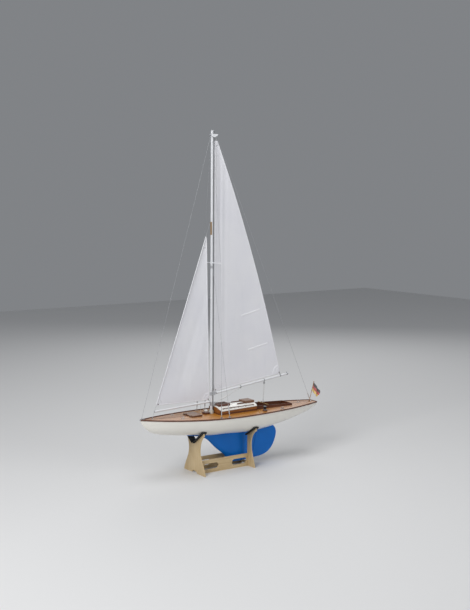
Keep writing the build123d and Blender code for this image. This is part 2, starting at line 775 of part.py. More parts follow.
vent_x = 146.0
with BuildPart() as vent_box:
    box_between(vent_x - 13, vent_x + 13, -14, 14, 260, deck_z(vent_x) + 9)
    fillet(vent_box.edges().filter_by(Axis.Z), 2)
    add(below_deck_top, mode=Mode.SUBTRACT)
with BuildPart() as vent_cowl:
    rod((vent_x, 0, deck_z(vent_x) + 9), (vent_x, 0, deck_z(vent_x) + 15), 4)
    rod((vent_x, 0, deck_z(vent_x) + 15), (vent_x, 0, deck_z(vent_x) + 19), 8.5)
    fillet(vent_cowl.edges().group_by(Axis.Z)[-1], 2.5)



def pair(x, inboard):
    """Two places at a station, port and starboard, at a distance inside the deck edge."""
    y = half_beam(x) - inboard
    return [(x, y), (x, -y)]


fore_cleat_x = 303.0
fore_cleat_inboard = 35.3
quarter_cleat_x = -240.0
quarter_cleat_inboard = 19.1
stern_cleat_x = -405.0
cleat_length = 20.0
cleat_width = 7.0
cleat_height = 11.0
cleat_spread = 5.0         # each post's distance from the cleat's middle
cleat_places = pair(fore_cleat_x, fore_cleat_inboard) + pair(quarter_cleat_x, quarter_cleat_inboard)
cleat_places.append((stern_cleat_x, 0))
with BuildPart() as mooring_cleats:
    for x, y in cleat_places:
        top = deck_z(x, y) + cleat_height
        box_between(x - cleat_length / 2, x + cleat_length / 2, y - cleat_width / 2, y + cleat_width / 2,
                    255, deck_z(x, y) + 2)
        for end in (-1, 1):
            rod((x + end * cleat_spread, y, 262), (x + end * cleat_spread, y, top - 2), 1.7)
            rod((x + end * cleat_spread, y, top - 2), (x + end * cleat_spread, y, top), 2.6)
    add(below_deck_top, mode=Mode.SUBTRACT)

deck_winch_x = -140.0
deck_winch_inboard = 36.8
winch_places = pair(deck_winch_x, deck_winch_inboard)
with BuildPart() as winch_pads:
    for x, y in winch_places:
        rod((x, y, 255), (x, y, deck_z(x, y) + 4), 12)
    add(below_deck_top, mode=Mode.SUBTRACT)
with BuildPart() as deck_winches:
    for x, y in winch_places:
        base = deck_z(x, y) + 4
        for low, high, radius in ((0, 4, 9.5), (4, 14, 6.5), (14, 18, 8.5)):
            rod((x, y, base + low), (x, y, base + high), radius)
        rod((x, y, base + 18), (x, y, base + 21), 3)

side_eye_x = -108.0
side_eye_inboard = 35.6
jib_sheet_x = 176.0
eye_places = pair(side_eye_x, side_eye_inboard) + [(jib_sheet_x, 0)]
with BuildPart() as deck_eyes:
    for x, y in eye_places:
        rod((x, y, 255), (x, y, deck_z(x, y) + 1.5), 4.5)
    add(below_deck_top, mode=Mode.SUBTRACT)
    for x, y in eye_places:
        with Locations(Location((x, y, deck_z(x, y) + 4.4), (90, 0, 0))):
            Torus(2.6, 0.9)

bow_plate_aft_x = 476.0
bow_plate_half = 4.0
bow_plate_z = deck_z(484) + 2
with BuildPart() as stay_plates:
    box_between(bow_plate_aft_x, bow_x, -bow_plate_half, bow_plate_half, bow_plate_z - 4, bow_plate_z)
    add(below_deck_top, mode=Mode.SUBTRACT)
    add(hull_solid.part, mode=Mode.SUBTRACT)
    add(rub_rail.part, mode=Mode.SUBTRACT)
    box_between(forestay_foot[0] - 3, forestay_foot[0] + 3, -1, 1, bow_plate_z - 1, forestay_foot[1] + 4)

with BuildPart() as jib_pivot:
    rod((jib_stay_foot[0], 0, 270), (jib_stay_foot[0], 0, deck_z(jib_stay_foot[0]) + 2), 6)
    add(below_deck_top, mode=Mode.SUBTRACT)
    rod((jib_stay_foot[0], 0, deck_z(jib_stay_foot[0]) + 1.9), (jib_stay_foot[0], 0, jib_stay_foot[1] + 4), 2.2)

with BuildPart() as backstay_plate:
    box_between(backstay_foot[0] - 8, backstay_foot[0] + 8, -5, 5, 255, deck_z(backstay_foot[0]) + 1.5)
    add(below_deck_top, mode=Mode.SUBTRACT)
    box_between(backstay_foot[0] - 3, backstay_foot[0] + 3, -1, 1, deck_z(backstay_foot[0]) + 1,
                backstay_foot[1] + 5)


# ---- mast and its fittings ----
mast_foot_z = deck_z(mast_x) + step_height
mast_plane = Plane(origin=(mast_x, 0, mast_foot_z),
                   x_dir=(cos(radians(mast_rake)), 0, sin(radians(mast_rake))),
                   z_dir=(-sin(radians(mast_rake)), 0, cos(radians(mast_rake))))


def mast_point(height, aft=0.0, side=0.0):
    """A point measured up the mast from its foot and behind its centre."""
    point = mast_plane.from_local_coords((-aft, side, height))
    return (point.X, point.Y, point.Z)


with BuildPart() as mast:
    with BuildSketch(mast_plane):
        Circle(mast_radius)
        with Locations((-groove_offset, 0)):
            Circle(groove_radius)
        Circle(mast_radius - mast_wall, mode=Mode.SUBTRACT)
        with Locations((-groove_offset, 0)):
            Circle(groove_radius - mast_wall, mode=Mode.SUBTRACT)
        with Locations((-groove_offset - groove_radius, 0)):
            Rectangle(3, 1.4, mode=Mode.SUBTRACT)
    extrude(amount=mast_length)

with BuildPart() as mast_step:
    rod((mast_x, 0, 250), (mast_x, 0, mast_foot_z - 0.1), mast_radius + 6)
    add(below_deck_top, mode=Mode.SUBTRACT)
    with BuildSketch(mast_plane.offset(0.1)):
        Circle(mast_radius + 3)
        Circle(mast_radius + 0.2, mode=Mode.SUBTRACT)
        with Locations((-groove_offset - 3, 0)):
            Rectangle(12, 2 * groove_radius + 1, mode=Mode.SUBTRACT)
    extrude(amount=6)

with BuildPart() as mast_cap:
    with BuildSketch(mast_plane.offset(mast_length)):
        Circle(mast_radius)
        with Locations((-groove_offset, 0)):
            Circle(groove_radius)
    extrude(amount=2)

crane_reach = 27.0
with BuildPart() as masthead_crane:
    for side in (-1, 1):
        with BuildSketch(Plane(origin=mast_point(crane_height, 0, side * (mast_radius + 1.0)),
                               x_dir=mast_plane.x_dir, z_dir=(0, -1, 0))):
            with BuildLine():
                Polyline((9, -5), (9, 7), (-crane_reach, 7), (-crane_reach, 2), (-10, -8), close=True)
            make_face()
        extrude(amount=0.9, both=True)
    rod(mast_point(crane_height + 4, crane_reach - 3, -mast_radius - 1.8),
        mast_point(crane_height + 4, crane_reach - 3, mast_radius + 1.8), 1.5)
    rod(mast_point(crane_height, -8, -mast_radius - 1.8), mast_point(crane_height, -8, mast_radius + 1.8), 1.2)

band_wall = 1.2


def mast_band(height, length):
    """A band that hugs the mast profile, open at the luff groove."""
    with BuildSketch(mast_plane.offset(height)) as band:
        Circle(mast_radius + band_wall)
        Circle(mast_radius + 0.02, mode=Mode.SUBTRACT)
        with Locations((-groove_offset - 2, 0)):
            Rectangle(16, 2 * groove_radius + 0.2, mode=Mode.SUBTRACT)
    return extrude(band.sketch, amount=length)


hounds_length = 60.0
hounds_depth = 3.0         # the fitting covers the mast ahead of this distance from its centre
with BuildPart() as hounds_band:
    mast_band(hounds_height - 2 - hounds_length, hounds_length)
    with BuildSketch(mast_plane.offset(hounds_height - 4 - hounds_length)) as behind:
        with Locations((hounds_depth - 2 * mast_radius, 0)):
            Rectangle(4 * mast_radius, 4 * mast_radius)
    extrude(behind.sketch, amount=hounds_length + 4, mode=Mode.SUBTRACT)
    rod(mast_point(hounds_height - 6, -mast_radius - 0.8), mast_point(hounds_height - 6, -mast_radius - 5), 1.4)

spreader_tip = spreader_span / 2
with BuildPart() as spreaders:
    mast_band(spreader_height - 5, 10)
    for side in (-1, 1):
        rod(mast_point(spreader_height, 0, side * (mast_radius + band_wall - 0.3)),
            mast_point(spreader_height, 0, side * spreader_tip), 2.2)
        rod(mast_point(spreader_height, 0, side * (spreader_tip - 2)),
            mast_point(spreader_height, 0, side * (spreader_tip + 2.6)), 2.8)

with BuildPart() as shroud_tangs:
    mast_band(spreader_height - 26, 12)
    for side in (-1, 1):
        rod(mast_point(spreader_height - 20, 0, side * (mast_radius + band_wall - 0.3)),
            mast_point(spreader_height - 20, 0, side * (mast_radius + 4)), 2)

pin_hole = 1.25
lug_reach = 4.5
bracket_heights = {"gooseneck": gooseneck_height, "vang": vang_height}
with BuildPart() as mast_brackets:
    for height in bracket_heights.values():
        mast_band(height - 8, 16)
        for side in (-1, 1):
            with BuildSketch(mast_plane.offset(height - 8)):
                with Locations((-(mast_radius + luff_offset - 3) / 2, side * (groove_radius + 1.1))):
                    Rectangle(luff_offset - 2 - mast_radius, 1.6)
            extrude(amount=16)
        for low in (-8, 5):
            with BuildSketch(mast_plane.offset(height + low)):
                with Locations((-(groove_offset + groove_radius + luff_offset + lug_reach) / 2 - 0.2, 0)):
                    Rectangle(luff_offset + lug_reach - groove_offset - groove_radius - 0.4, 8)
                with Locations((-luff_offset, 0)):
                    Circle(pin_hole, mode=Mode.SUBTRACT)
            extrude(amount=3)

with BuildPart() as bracket_pins:
    for height in bracket_heights.values():
        rod(mast_point(height - 9, luff_offset), mast_point(height + 9, luff_offset), pin_hole)


# ---- main boom ----
boom_dir = (-cos(radians(boom_rise)), 0, sin(radians(boom_rise)))


def boom_point(along, up=0.0, side=0.0):
    """A point measured aft along the boom from the gooseneck pin and above its centre."""
    pivot = mast_point(gooseneck_height, luff_offset)
    x = pivot[0] - along * cos(radians(boom_rise)) + up * sin(radians(boom_rise))
    z = pivot[2] + along * sin(radians(boom_rise)) + up * cos(radians(boom_rise))
    return (x, side, z)


pivot_clearance = 0.05
eye_half = 4.6
with BuildPart() as boom_toggle:
    rod(mast_point(gooseneck_height - eye_half, luff_offset),
        mast_point(gooseneck_height + eye_half, luff_offset), 3)
    rod(boom_point(2), boom_point(12), 2)
    rod(boom_point(9), boom_point(12), boom_radius)
    rod(mast_point(gooseneck_height - 9, luff_offset), mast_point(gooseneck_height + 9, luff_offset),
        pin_hole + pivot_clearance, mode=Mode.SUBTRACT)

with BuildPart() as main_boom:
    rod(boom_point(12), boom_point(boom_length), boom_radius)
    rod(boom_point(12), boom_point(boom_length), boom_radius - 0.8, mode=Mode.SUBTRACT)

vang_along = 150.0
sheet_along = 291.0
clew_along = 390.0
outhaul_along = 431.0
with BuildPart() as boom_fittings:
    for along in (vang_along, sheet_along, clew_along, outhaul_along):
        ring(boom_point(along), boom_dir, boom_radius + 0.9, boom_radius, 5)
    rod(boom_point(boom_length), boom_point(boom_length + 2), boom_radius)
    for along, side in ((vang_along, -1), (sheet_along, -1), (clew_along, 1), (outhaul_along, 1)):
        ring(boom_point(along, side * (boom_radius + 3)), (0, 1, 0), 2.5, 1.1, 1.6)

vang_top = boom_point(vang_along, -boom_radius - 3)
vang_low = mast_point(vang_height, luff_offset)
with BuildPart() as boom_vang:
    rod(mast_point(vang_height - eye_half, luff_offset), mast_point(vang_height + eye_half, luff_offset), 3)
    start = Vector(*vang_low)
    reach = Vector(*vang_top) - start
    unit = reach.normalized()
    rod(tuple(start + unit * 2), tuple(start + unit * (reach.length - 1.5)), 1.0)
    rod(tuple(start + unit * 40), tuple(start + unit * 95), 2.4)
    rod(mast_point(vang_height - 9, luff_offset), mast_point(vang_height + 9, luff_offset),
        pin_hole + pivot_clearance, mode=Mode.SUBTRACT)

# ---- mainsail ----
tack = boom_point(8, boom_radius + 3)
clew = boom_point(clew_along + 1, boom_radius + 7.5)
head_height = crane_height - 22
luff_gap = luff_offset + 0.4
head = mast_point(head_height, luff_gap)
head_width = 11.0
sail_tack = mast_point(gooseneck_height + 10, luff_gap)
with BuildPart() as mainsail:
    with BuildSketch(side_plane(sail_thickness / 2)):
        with BuildLine():
            head_front = (head[0], head[2])
            head_back = (head[0] - head_width, head[2])
            tack_point = (sail_tack[0], sail_tack[2])
            clew_point = (clew[0], clew[2])
            leech_middle = ((head_back[0] + clew_point[0]) / 2 - roach, (head_back[1] + clew_point[1]) / 2)
            Line(tack_point, head_front)
            Line(head_front, head_back)
            ThreePointArc(head_back, leech_middle, clew_point)
            Line(clew_point, tack_point)
        make_face()
    extrude(amount=sail_thickness)

batten_ends = [((-60.8, 727.7), (-166, 753)), ((-100.8, 558.6), (-212, 584))]
batten_width = 6.0
batten_thickness = 0.5
with BuildPart() as sail_battens:
    for side in (-1, 1):
        for low, high in batten_ends:
            middle = side * (sail_thickness + batten_thickness) / 2
            with BuildSketch(side_plane(middle + batten_thickness / 2)):
                with BuildLine():
                    Polyline((low[0], low[1] - batten_width / 2), (high[0], high[1] - batten_width / 2),
                             (high[0], high[1] + batten_width / 2), (low[0], low[1] + batten_width / 2),
                             close=True)
                make_face()
            extrude(amount=batten_thickness)

with BuildPart() as main_headboard:
    for side in (-1, 1):
        with BuildSketch(side_plane(side * (sail_thickness / 2 + 0.4) + 0.4)):
            with BuildLine():
                Polyline((head[0] - 1, head[2] - 2), (head[0] - head_width - 0.5, head[2] - 2),
                         (head[0] - head_width - 4, head[2] - 20), (head[0] - 1, head[2] - 26), close=True)
            make_face()
        extrude(amount=0.8)

with BuildPart() as boom_lashings:
    ring((clew[0] + 3, 0, clew[2] - 0.5), (0, 1, 0), 2.2, 1.2, 2.4)
    rod(boom_point(clew_along, boom_radius + 4.6), boom_point(clew_along, boom_radius + 6.2), 0.6)
    rod(boom_point(clew_along + 4, boom_radius + 6), boom_point(outhaul_along - 2, boom_radius + 3.5), 0.5)

with BuildPart() as main_halyard:
    rod((head[0] - 4, 0, head[2] + 0.2), mast_point(crane_height + 2.3, luff_offset + 5.5), 0.5)

sheet_top = boom_point(sheet_along, -boom_radius - 3)
block_drop = 11.0
with BuildPart() as sheet_block:
    rod((sheet_top[0], 0, sheet_top[2] - 3.0), (sheet_top[0], 0, sheet_top[2] - 1.6), 1)
    rod((sheet_top[0], -2.2, sheet_top[2] - 7), (sheet_top[0], 2.2, sheet_top[2] - 7), 4.5)
with BuildPart() as mainsheet:
    for offset in (-2.2, 2.2):
        rod((sheet_top[0] + offset, 0, sheet_top[2] - block_drop - 0.8),
            (horse_x + offset / 2, 0, horse_z + 1.9), sheet_radius)


# ---- standing rigging ----
def stay(start, end, radius=wire_radius, trim_start=0.0, trim_end=0.0):
    """A wire between two points, shortened at its ends, inside a part context."""
    line = Vector(*end) - Vector(*start)
    unit = line.normalized()
    rod(tuple(Vector(*start) + unit * trim_start), tuple(Vector(*end) - unit * trim_end), radius)


def turnbuckle(start, end, first, last):
    """A rigging screw on the line between two points, inside a part context."""
    line = Vector(*end) - Vector(*start)
    unit = line.normalized()
    at = [tuple(Vector(*start) + unit * d) for d in (first, first + 9, last - 9, last)]
    rod(at[0], at[1], 1.2)
    rod(at[1], at[2], 2.3)
    rod(at[2], at[3], 1.2)


cap_shroud_x = 129.0
cap_shroud_inboard = 10.25
lower_shroud_x = 84.0
lower_shroud_inboard = 13.55
cap_foot = pair(cap_shroud_x, cap_shroud_inboard)[0]
lower_foot = pair(lower_shroud_x, lower_shroud_inboard)[0]
screw_low = 3.5
screw_high = 58.0
with BuildPart() as chainplates:
    for x, y in (cap_foot, lower_foot):
        for side in (-1, 1):
            box_between(x - 4, x + 4, side * y - 0.8, side * y + 0.8, 250, deck_z(x, y) + 7)
            box_between(x - 7, x + 7, side * y - 3, side * y + 3, 250, deck_z(x, y) + 1.2)
    add(below_deck_top, mode=Mode.SUBTRACT)

with BuildPart() as turnbuckles:
    for side in (-1, 1):
        cap_low = (cap_foot[0], side * cap_foot[1], deck_z(*cap_foot) + 5)
        lower_low = (lower_foot[0], side * lower_foot[1], deck_z(*lower_foot) + 5)
        turnbuckle(cap_low, mast_point(spreader_height, 0, side * spreader_tip), screw_low, screw_high)
        lower_top = mast_point(spreader_height - 20, 0, side * (mast_radius + 4))
        turnbuckle(lower_low, lower_top, screw_low, screw_high)
    backstay_top = mast_point(crane_height + 4, crane_reach - 3)
    turnbuckle((backstay_foot[0], 0, backstay_foot[1] + 4), backstay_top, 3, 48)

with BuildPart() as cap_shrouds:
    for side in (-1, 1):
        cap_low = (cap_foot[0], side * cap_foot[1], deck_z(*cap_foot) + 5)
        tip = mast_point(spreader_height, 0, side * spreader_tip)
        above = mast_point(spreader_height + 3.0, 0, side * spreader_tip)
        stay(cap_low, tip, trim_start=screw_high, trim_end=3.0)
        stay(above, mast_point(crane_height - 2, 0, side * (mast_radius + 2.6)))

with BuildPart() as lower_shrouds:
    for side in (-1, 1):
        lower_low = (lower_foot[0], side * lower_foot[1], deck_z(*lower_foot) + 5)
        stay(lower_low, mast_point(spreader_height - 20, 0, side * (mast_radius + 4)), trim_start=screw_high,
             trim_end=2.2)

with BuildPart() as forestay:
    stay((forestay_foot[0], 0, forestay_foot[1] + 4.2), mast_point(crane_height, -8), trim_end=1.4)

jib_foot = (jib_stay_foot[0], 0, jib_stay_foot[1])
jib_head_point = mast_point(hounds_height - 6, -mast_radius - 4)
jib_axis = (Vector(*jib_head_point) - Vector(*jib_foot)).normalized()
with BuildPart() as jib_stay:
    stay(jib_foot, jib_head_point, trim_start=5.2, trim_end=1.6)

with BuildPart() as backstay:
    stay((backstay_foot[0], 0, backstay_foot[1] + 4), mast_point(crane_height + 4, crane_reach - 3),
         trim_start=48, trim_end=1.7)


# ---- jib, set on its boom and pivoting about the jib stay ----
def jib_point(along, aft=0.0):
    """A point up the jib stay from its foot, and behind it in the plane of the sail."""
    point = Vector(*jib_foot) + jib_axis * along + Vector(-1, 0, 0) * aft
    return (point.X, 0, point.Z)


eye_low = jib_point(jib_boom_height - 3)
eye_high = jib_point(jib_boom_height + 3)
jib_boom_start = jib_point(jib_boom_height, 2.6)
jib_boom_end = (jib_boom_start[0] - jib_boom_length, 0, jib_boom_start[2] + jib_boom_rise)
stay_bore = wire_radius + pivot_clearance + 0.05
with BuildPart() as jib_boom:
    rod(jib_boom_start, jib_boom_end, jib_boom_radius)
    rod(eye_low, eye_high, 2.6, mode=Mode.SUBTRACT)

with BuildPart() as jib_boom_eye:
    ring(jib_point(jib_boom_height), tuple(jib_axis), 2.6, stay_bore, 6)
    ring(jib_boom_end, (1, 0, -0.05), jib_boom_radius + 0.8, jib_boom_radius, 5)
    ring((jib_boom_end[0] + 1, 0, jib_boom_end[2] + jib_boom_radius + 2.6), (0, 1, 0), 2.2, 1.1, 1.6)

jib_tack_along = 58.0
jib_head_along = 872.0
jib_clew = (128.5, 339.0)
with BuildPart() as jib:
    sleeve_low = jib_point(jib_tack_along)
    sleeve_high = jib_point(jib_head_along)
    with BuildSketch(side_plane(sail_thickness / 2)):
        with BuildLine():
            Polyline((sleeve_low[0], sleeve_low[2]), (sleeve_high[0], sleeve_high[2]),
                     (sleeve_high[0] - 5, sleeve_high[2] - 2), jib_clew, close=True)
        make_face()
    extrude(amount=sail_thickness)
    rod(sleeve_low, sleeve_high, 1.5)
    rod(jib_point(jib_tack_along - 5), jib_point(jib_head_along + 5), stay_bore, mode=Mode.SUBTRACT)

with BuildPart() as jib_lashings:
    ring((jib_clew[0] + 3.4, 0, jib_clew[1] + 2), (0, 1, 0), 2.0, 1.0, 2.2)
    rod((jib_boom_end[0] + 1.2, 0, jib_boom_end[2] + jib_boom_radius + 4.6),
        (jib_clew[0] + 1.2, 0, jib_clew[1] + 0.1), 0.5)
    rod(jib_point(jib_boom_height + jib_boom_radius, 5), jib_point(jib_tack_along - 0.3, 3), 0.5)

share = (jib_boom_start[0] - jib_sheet_x) / jib_boom_length
with BuildPart() as jib_sheet:
    rod((jib_sheet_x, 0, deck_z(jib_sheet_x) + 8.2),
        (jib_sheet_x, 0, jib_boom_start[2] + jib_boom_rise * share - jib_boom_radius - 1.2), 0.6)


# ---- flag ----
staff_foot = (staff_foot_x, staff_y, deck_z(staff_foot_x))
staff_dir = Vector(-sin(radians(staff_rake)), 0, cos(radians(staff_rake)))
with BuildPart() as flagstaff:
    staff_top = Vector(*staff_foot) + staff_dir * staff_length
    rod(tuple(Vector(*staff_foot) - staff_dir * 6), tuple(staff_top), staff_radius)
    rod(tuple(staff_top), tuple(staff_top + staff_dir * 3), 2.4)
    rod((staff_foot_x, staff_y, 255), (staff_foot_x, staff_y, deck_z(staff_foot_x) + 4), 3.2)
    add(below_deck_top, mode=Mode.SUBTRACT)

flag_head = Vector(*staff_foot) + staff_dir * (staff_length - 2)
flag_low = Vector(*staff_foot) + staff_dir * (staff_length - 2 - flag_hoist)
hoist_gap = staff_radius + 0.4
with BuildPart() as flag:
    with BuildSketch(side_plane(staff_y + flag_thickness / 2)):
        with BuildLine():
            Polyline((flag_head.X - hoist_gap, flag_head.Z), (flag_tip_x, flag_tip_z), flag_corner,
                     (flag_low.X - hoist_gap, flag_low.Z), close=True)
        make_face()
    extrude(amount=flag_thickness)


# ---- cradle ----
def cradle_slope(x, angle):
    """Height at the centreline of the pad line that just touches the hull's section."""
    slope = tan(radians(angle))
    lowest = 1e9
    for dx in (-strip_width / 2, 0, strip_width / 2):
        p = section_points(x + dx)
        for step in range(41):
            t = step / 40
            weights = ((1 - t) ** 3, 3 * t * (1 - t) ** 2, 3 * t * t * (1 - t), t ** 3)
            y = sum(w * q[0] for w, q in zip(weights, p))
            z = sum(w * q[1] for w, q in zip(weights, p))
            lowest = min(lowest, z - slope * y)
    return lowest - seat_gap / cos(radians(angle))


def cradle_frame(x, angle, arm_half, edge, slot_half):
    """An upright frame with a padded V for the hull, curved edges and slots for the side panels."""
    slope = tan(radians(angle))
    drop = strip_thickness / cos(radians(angle))
    base = cradle_slope(x, angle) - drop
    arm_top = base + slope * arm_half
    tip = (arm_half + 4, arm_top - 12)
    with BuildPart() as frame:
        with BuildSketch(station(x - frame_thickness / 2)):
            with BuildLine():
                Line((-foot_half_width, 0), (foot_half_width, 0))
                Spline((foot_half_width, 0), *edge, tip)
                Polyline(tip, (arm_half, arm_top), (0, base), (-arm_half, arm_top), (-tip[0], tip[1]))
                Spline((-tip[0], tip[1]), *[(-y, z) for y, z in reversed(edge)], (-foot_half_width, 0))
            make_face()
            Ellipse(24, 10, mode=Mode.SUBTRACT)
            for side in (-1, 1):
                with Locations((side * panel_half_spacing, panel_height / 6)):
                    Rectangle(panel_thickness, panel_height / 3, mode=Mode.SUBTRACT)
            if slot_half:
                with Locations((0, (base + 40 + slot_foot) / 2)):
                    Rectangle(2 * slot_half, base + 40 - slot_foot, mode=Mode.SUBTRACT)
        extrude(amount=frame_thickness)
    with BuildPart() as pads:
        for side in (-1, 1):
            inner = slot_half + 1 if slot_half else 7
            with BuildSketch(station(x - strip_width / 2)):
                with BuildLine():
                    Polyline((side * inner, base + slope * inner), (side * arm_half, arm_top),
                             (side * arm_half, arm_top + drop), (side * inner, base + slope * inner + drop),
                             close=True)
                make_face()
            extrude(amount=strip_width)
    return frame.part, pads.part


fore_edge = [(74, 45), (50, 96), (51, 138)]
aft_edge = [(74, 50), (61, 105), (68, 145)]
fore_frame, fore_pads = cradle_frame(fore_frame_x, 37.5, 82, fore_edge, 0)
aft_frame, aft_pads = cradle_frame(aft_frame_x, 32.0, 102, aft_edge, keel_slot_half)

panel_fore_x = fore_frame_x - frame_thickness / 2
panel_aft_x = aft_frame_x + frame_thickness / 2


def cradle_panel(side):
    """A side panel with two round-ended windows and a tab at each end."""
    with BuildPart() as panel:
        with BuildSketch(side_plane(side * panel_half_spacing + panel_thickness / 2)):
            with Locations(((panel_fore_x + panel_aft_x) / 2, panel_height / 2)):
                Rectangle(panel_fore_x - panel_aft_x, panel_height)
            with Locations(((panel_fore_x + panel_aft_x) / 2, panel_height / 6)):
                Rectangle(panel_fore_x - panel_aft_x + 2 * frame_thickness, panel_height / 3)
            with Locations((143, 30), (-19, 30)):
                SlotOverall(86, 28, mode=Mode.SUBTRACT)
        extrude(amount=panel_thickness)
    return panel.part


keep("hull_shell", bored_shell.part)
keep("deck", deck.part)
keep("rub_rail", rub_rail.part)
keep("bulkheads", bulkheads.part)
keep("keel_fin", keel_fin.part)
keep("keel_ballast", keel_ballast.part)
keep("rudder_tube", rudder_tube.part)
keep("rudder_blade", rudder_blade.part)
keep("rudder_stock", rudder_stock.part, rudder_arm.part)
keep("servo_horn", servo_horn.part)
keep("pushrod", pushrod.part)
keep("radio_tray", radio_tray.part, servo_mount.part)
keep("radio_gear", rudder_servo.part, sail_winch.part, receiver.part, battery_pack.part)
keep("winch_drum", winch_drum.part)
keep("cabin_sides", cabin_sides.part)
keep("coachroof", coachroof.part)
keep("roof_rails", handrails.part, hatch_runners.part, washboards.part)
keep("companion_hatch", companion_hatch.part)
keep("skylight_frame", skylight_frame.part)
keep("skylight_glass", skylight_glass.part)
keep("cockpit_well", cockpit_well.part)
keep("cockpit_seats", cockpit_seats.part, cockpit_grating.part)
keep("cockpit_coamings", cockpit_coamings.part)
keep("deck_brassware", deck_eyes.part, sheet_horse.part)
keep("hatch_coaming", hatch_coaming.part)
keep("fore_hatch_lid", fore_hatch_lid.part)
keep("hatch_hinge_pins", hatch_hinge_pins.part)
keep("deck_blocks", vent_box.part, winch_pads.part, cabin_moulding.part)
keep("vent_cowl", vent_cowl.part)
keep("mooring_cleats", mooring_cleats.part)
keep("deck_winches", deck_winches.part)
keep("stay_plates", stay_plates.part, jib_pivot.part, backstay_plate.part, chainplates.part)
keep("mast", mast.part)
keep("mast_step", mast_step.part)
keep("masthead_crane", masthead_crane.part, mast_cap.part)
keep("hounds_band", hounds_band.part)
keep("spreaders", spreaders.part)
keep("mast_brackets", mast_brackets.part, shroud_tangs.part, bracket_pins.part)
keep("shrouds", cap_shrouds.part, lower_shrouds.part)
keep("stays", forestay.part, backstay.part)
keep("jib_stay", jib_stay.part)
keep("turnbuckles", turnbuckles.part)
keep("boom_toggle", boom_toggle.part)
keep("main_boom", main_boom.part)
keep("boom_fittings", boom_fittings.part, sheet_block.part)
keep("boom_vang", boom_vang.part)
keep("mainsail", mainsail.part)
keep("sail_battens", sail_battens.part, main_headboard.part)
keep("main_lines", boom_lashings.part, main_halyard.part)
keep("mainsheet", mainsheet.part)
keep("jib_boom", jib_boom.part)
keep("jib_fittings", jib_boom_eye.part)
keep("jib", jib.part)
keep("jib_lines", jib_lashings.part)
keep("jib_sheet", jib_sheet.part)
keep("flagstaff", flagstaff.part)
keep("flag", flag.part)
keep("stand_frames", fore_frame, aft_frame)
keep("stand_panels", cradle_panel(-1), cradle_panel(1))
keep("stand_pads", fore_pads, aft_pads)
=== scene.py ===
import json
from math import cos, exp, pi, sin, sqrt

import bpy
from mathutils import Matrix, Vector


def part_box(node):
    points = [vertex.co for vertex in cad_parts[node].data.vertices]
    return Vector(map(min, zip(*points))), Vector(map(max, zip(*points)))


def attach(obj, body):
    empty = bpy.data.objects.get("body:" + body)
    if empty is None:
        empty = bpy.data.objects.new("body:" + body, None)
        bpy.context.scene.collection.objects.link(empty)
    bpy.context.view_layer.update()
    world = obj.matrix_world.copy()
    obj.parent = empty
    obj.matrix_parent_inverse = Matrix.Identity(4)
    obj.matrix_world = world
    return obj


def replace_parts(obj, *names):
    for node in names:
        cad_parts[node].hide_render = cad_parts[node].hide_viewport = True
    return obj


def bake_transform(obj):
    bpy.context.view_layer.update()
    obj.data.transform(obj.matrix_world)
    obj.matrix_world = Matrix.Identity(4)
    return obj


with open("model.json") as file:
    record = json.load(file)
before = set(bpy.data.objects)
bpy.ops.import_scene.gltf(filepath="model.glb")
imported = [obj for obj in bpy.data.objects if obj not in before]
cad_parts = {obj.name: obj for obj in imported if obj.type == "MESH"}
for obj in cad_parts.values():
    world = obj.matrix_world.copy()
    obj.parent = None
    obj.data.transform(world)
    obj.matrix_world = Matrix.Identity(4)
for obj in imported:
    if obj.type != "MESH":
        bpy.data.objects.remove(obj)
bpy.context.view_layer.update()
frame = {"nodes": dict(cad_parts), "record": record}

bpy.ops.object.select_all(action="DESELECT")
nodes = frame["nodes"]


# ---- The table the yacht stands on, the lamps and the camera ----
# A plain pale sheet of board, lit by one large soft lamp from the front left, a second
# from the right and a broad one overhead.
floor_size = 14.0
bpy.ops.mesh.primitive_plane_add(size=floor_size, location=(0, 0, 0))
table = bpy.context.object
table.name = "table_top"
board = bpy.data.materials.new("pale_board")
board.use_nodes = True
board_surface = board.node_tree.nodes["Principled BSDF"]
board_surface.inputs["Base Color"].default_value = (0.72, 0.72, 0.72, 1)
board_surface.inputs["Roughness"].default_value = 0.75
table.data.materials.append(board)

sky = bpy.data.worlds.new("studio")
sky.use_nodes = True
room_light = sky.node_tree.nodes["Background"]
room_light.inputs["Color"].default_value = (0.52, 0.54, 0.57, 1)
room_light.inputs["Strength"].default_value = 0.42
bpy.context.scene.world = sky

middle_of_yacht = Vector((0.0, 0.0, 0.7))
for name, place, size, watts in (
    ("key_lamp", (3.6, 1.6, 3.0), 1.8, 112),
    ("fill_lamp", (-1.8, 3.8, 2.2), 2.6, 34),
    ("top_lamp", (0.2, 0.3, 4.2), 2.6, 52),
    ("back_lamp", (-2.6, -3.0, 2.8), 2.6, 34),
):
    lamp = bpy.data.lights.new(name, "AREA")
    lamp.size = size
    lamp.energy = watts
    holder = bpy.data.objects.new(name, lamp)
    holder.location = place
    holder.rotation_euler = (middle_of_yacht - Vector(place)).to_track_quat("-Z", "Y").to_euler()
    bpy.context.scene.collection.objects.link(holder)

lens = bpy.data.cameras.new("lens")
lens.lens = 59.0
lens.clip_end = 60
camera = bpy.data.objects.new("camera", lens)
camera.location = (2.648, 3.929, 1.2865)
line_of_sight = Vector((-0.556, -0.8244, -0.1058))
camera.rotation_euler = line_of_sight.to_track_quat("-Z", "Y").to_euler()
bpy.context.scene.collection.objects.link(camera)
bpy.context.scene.camera = camera
bpy.context.scene.view_settings.view_transform = "Standard"


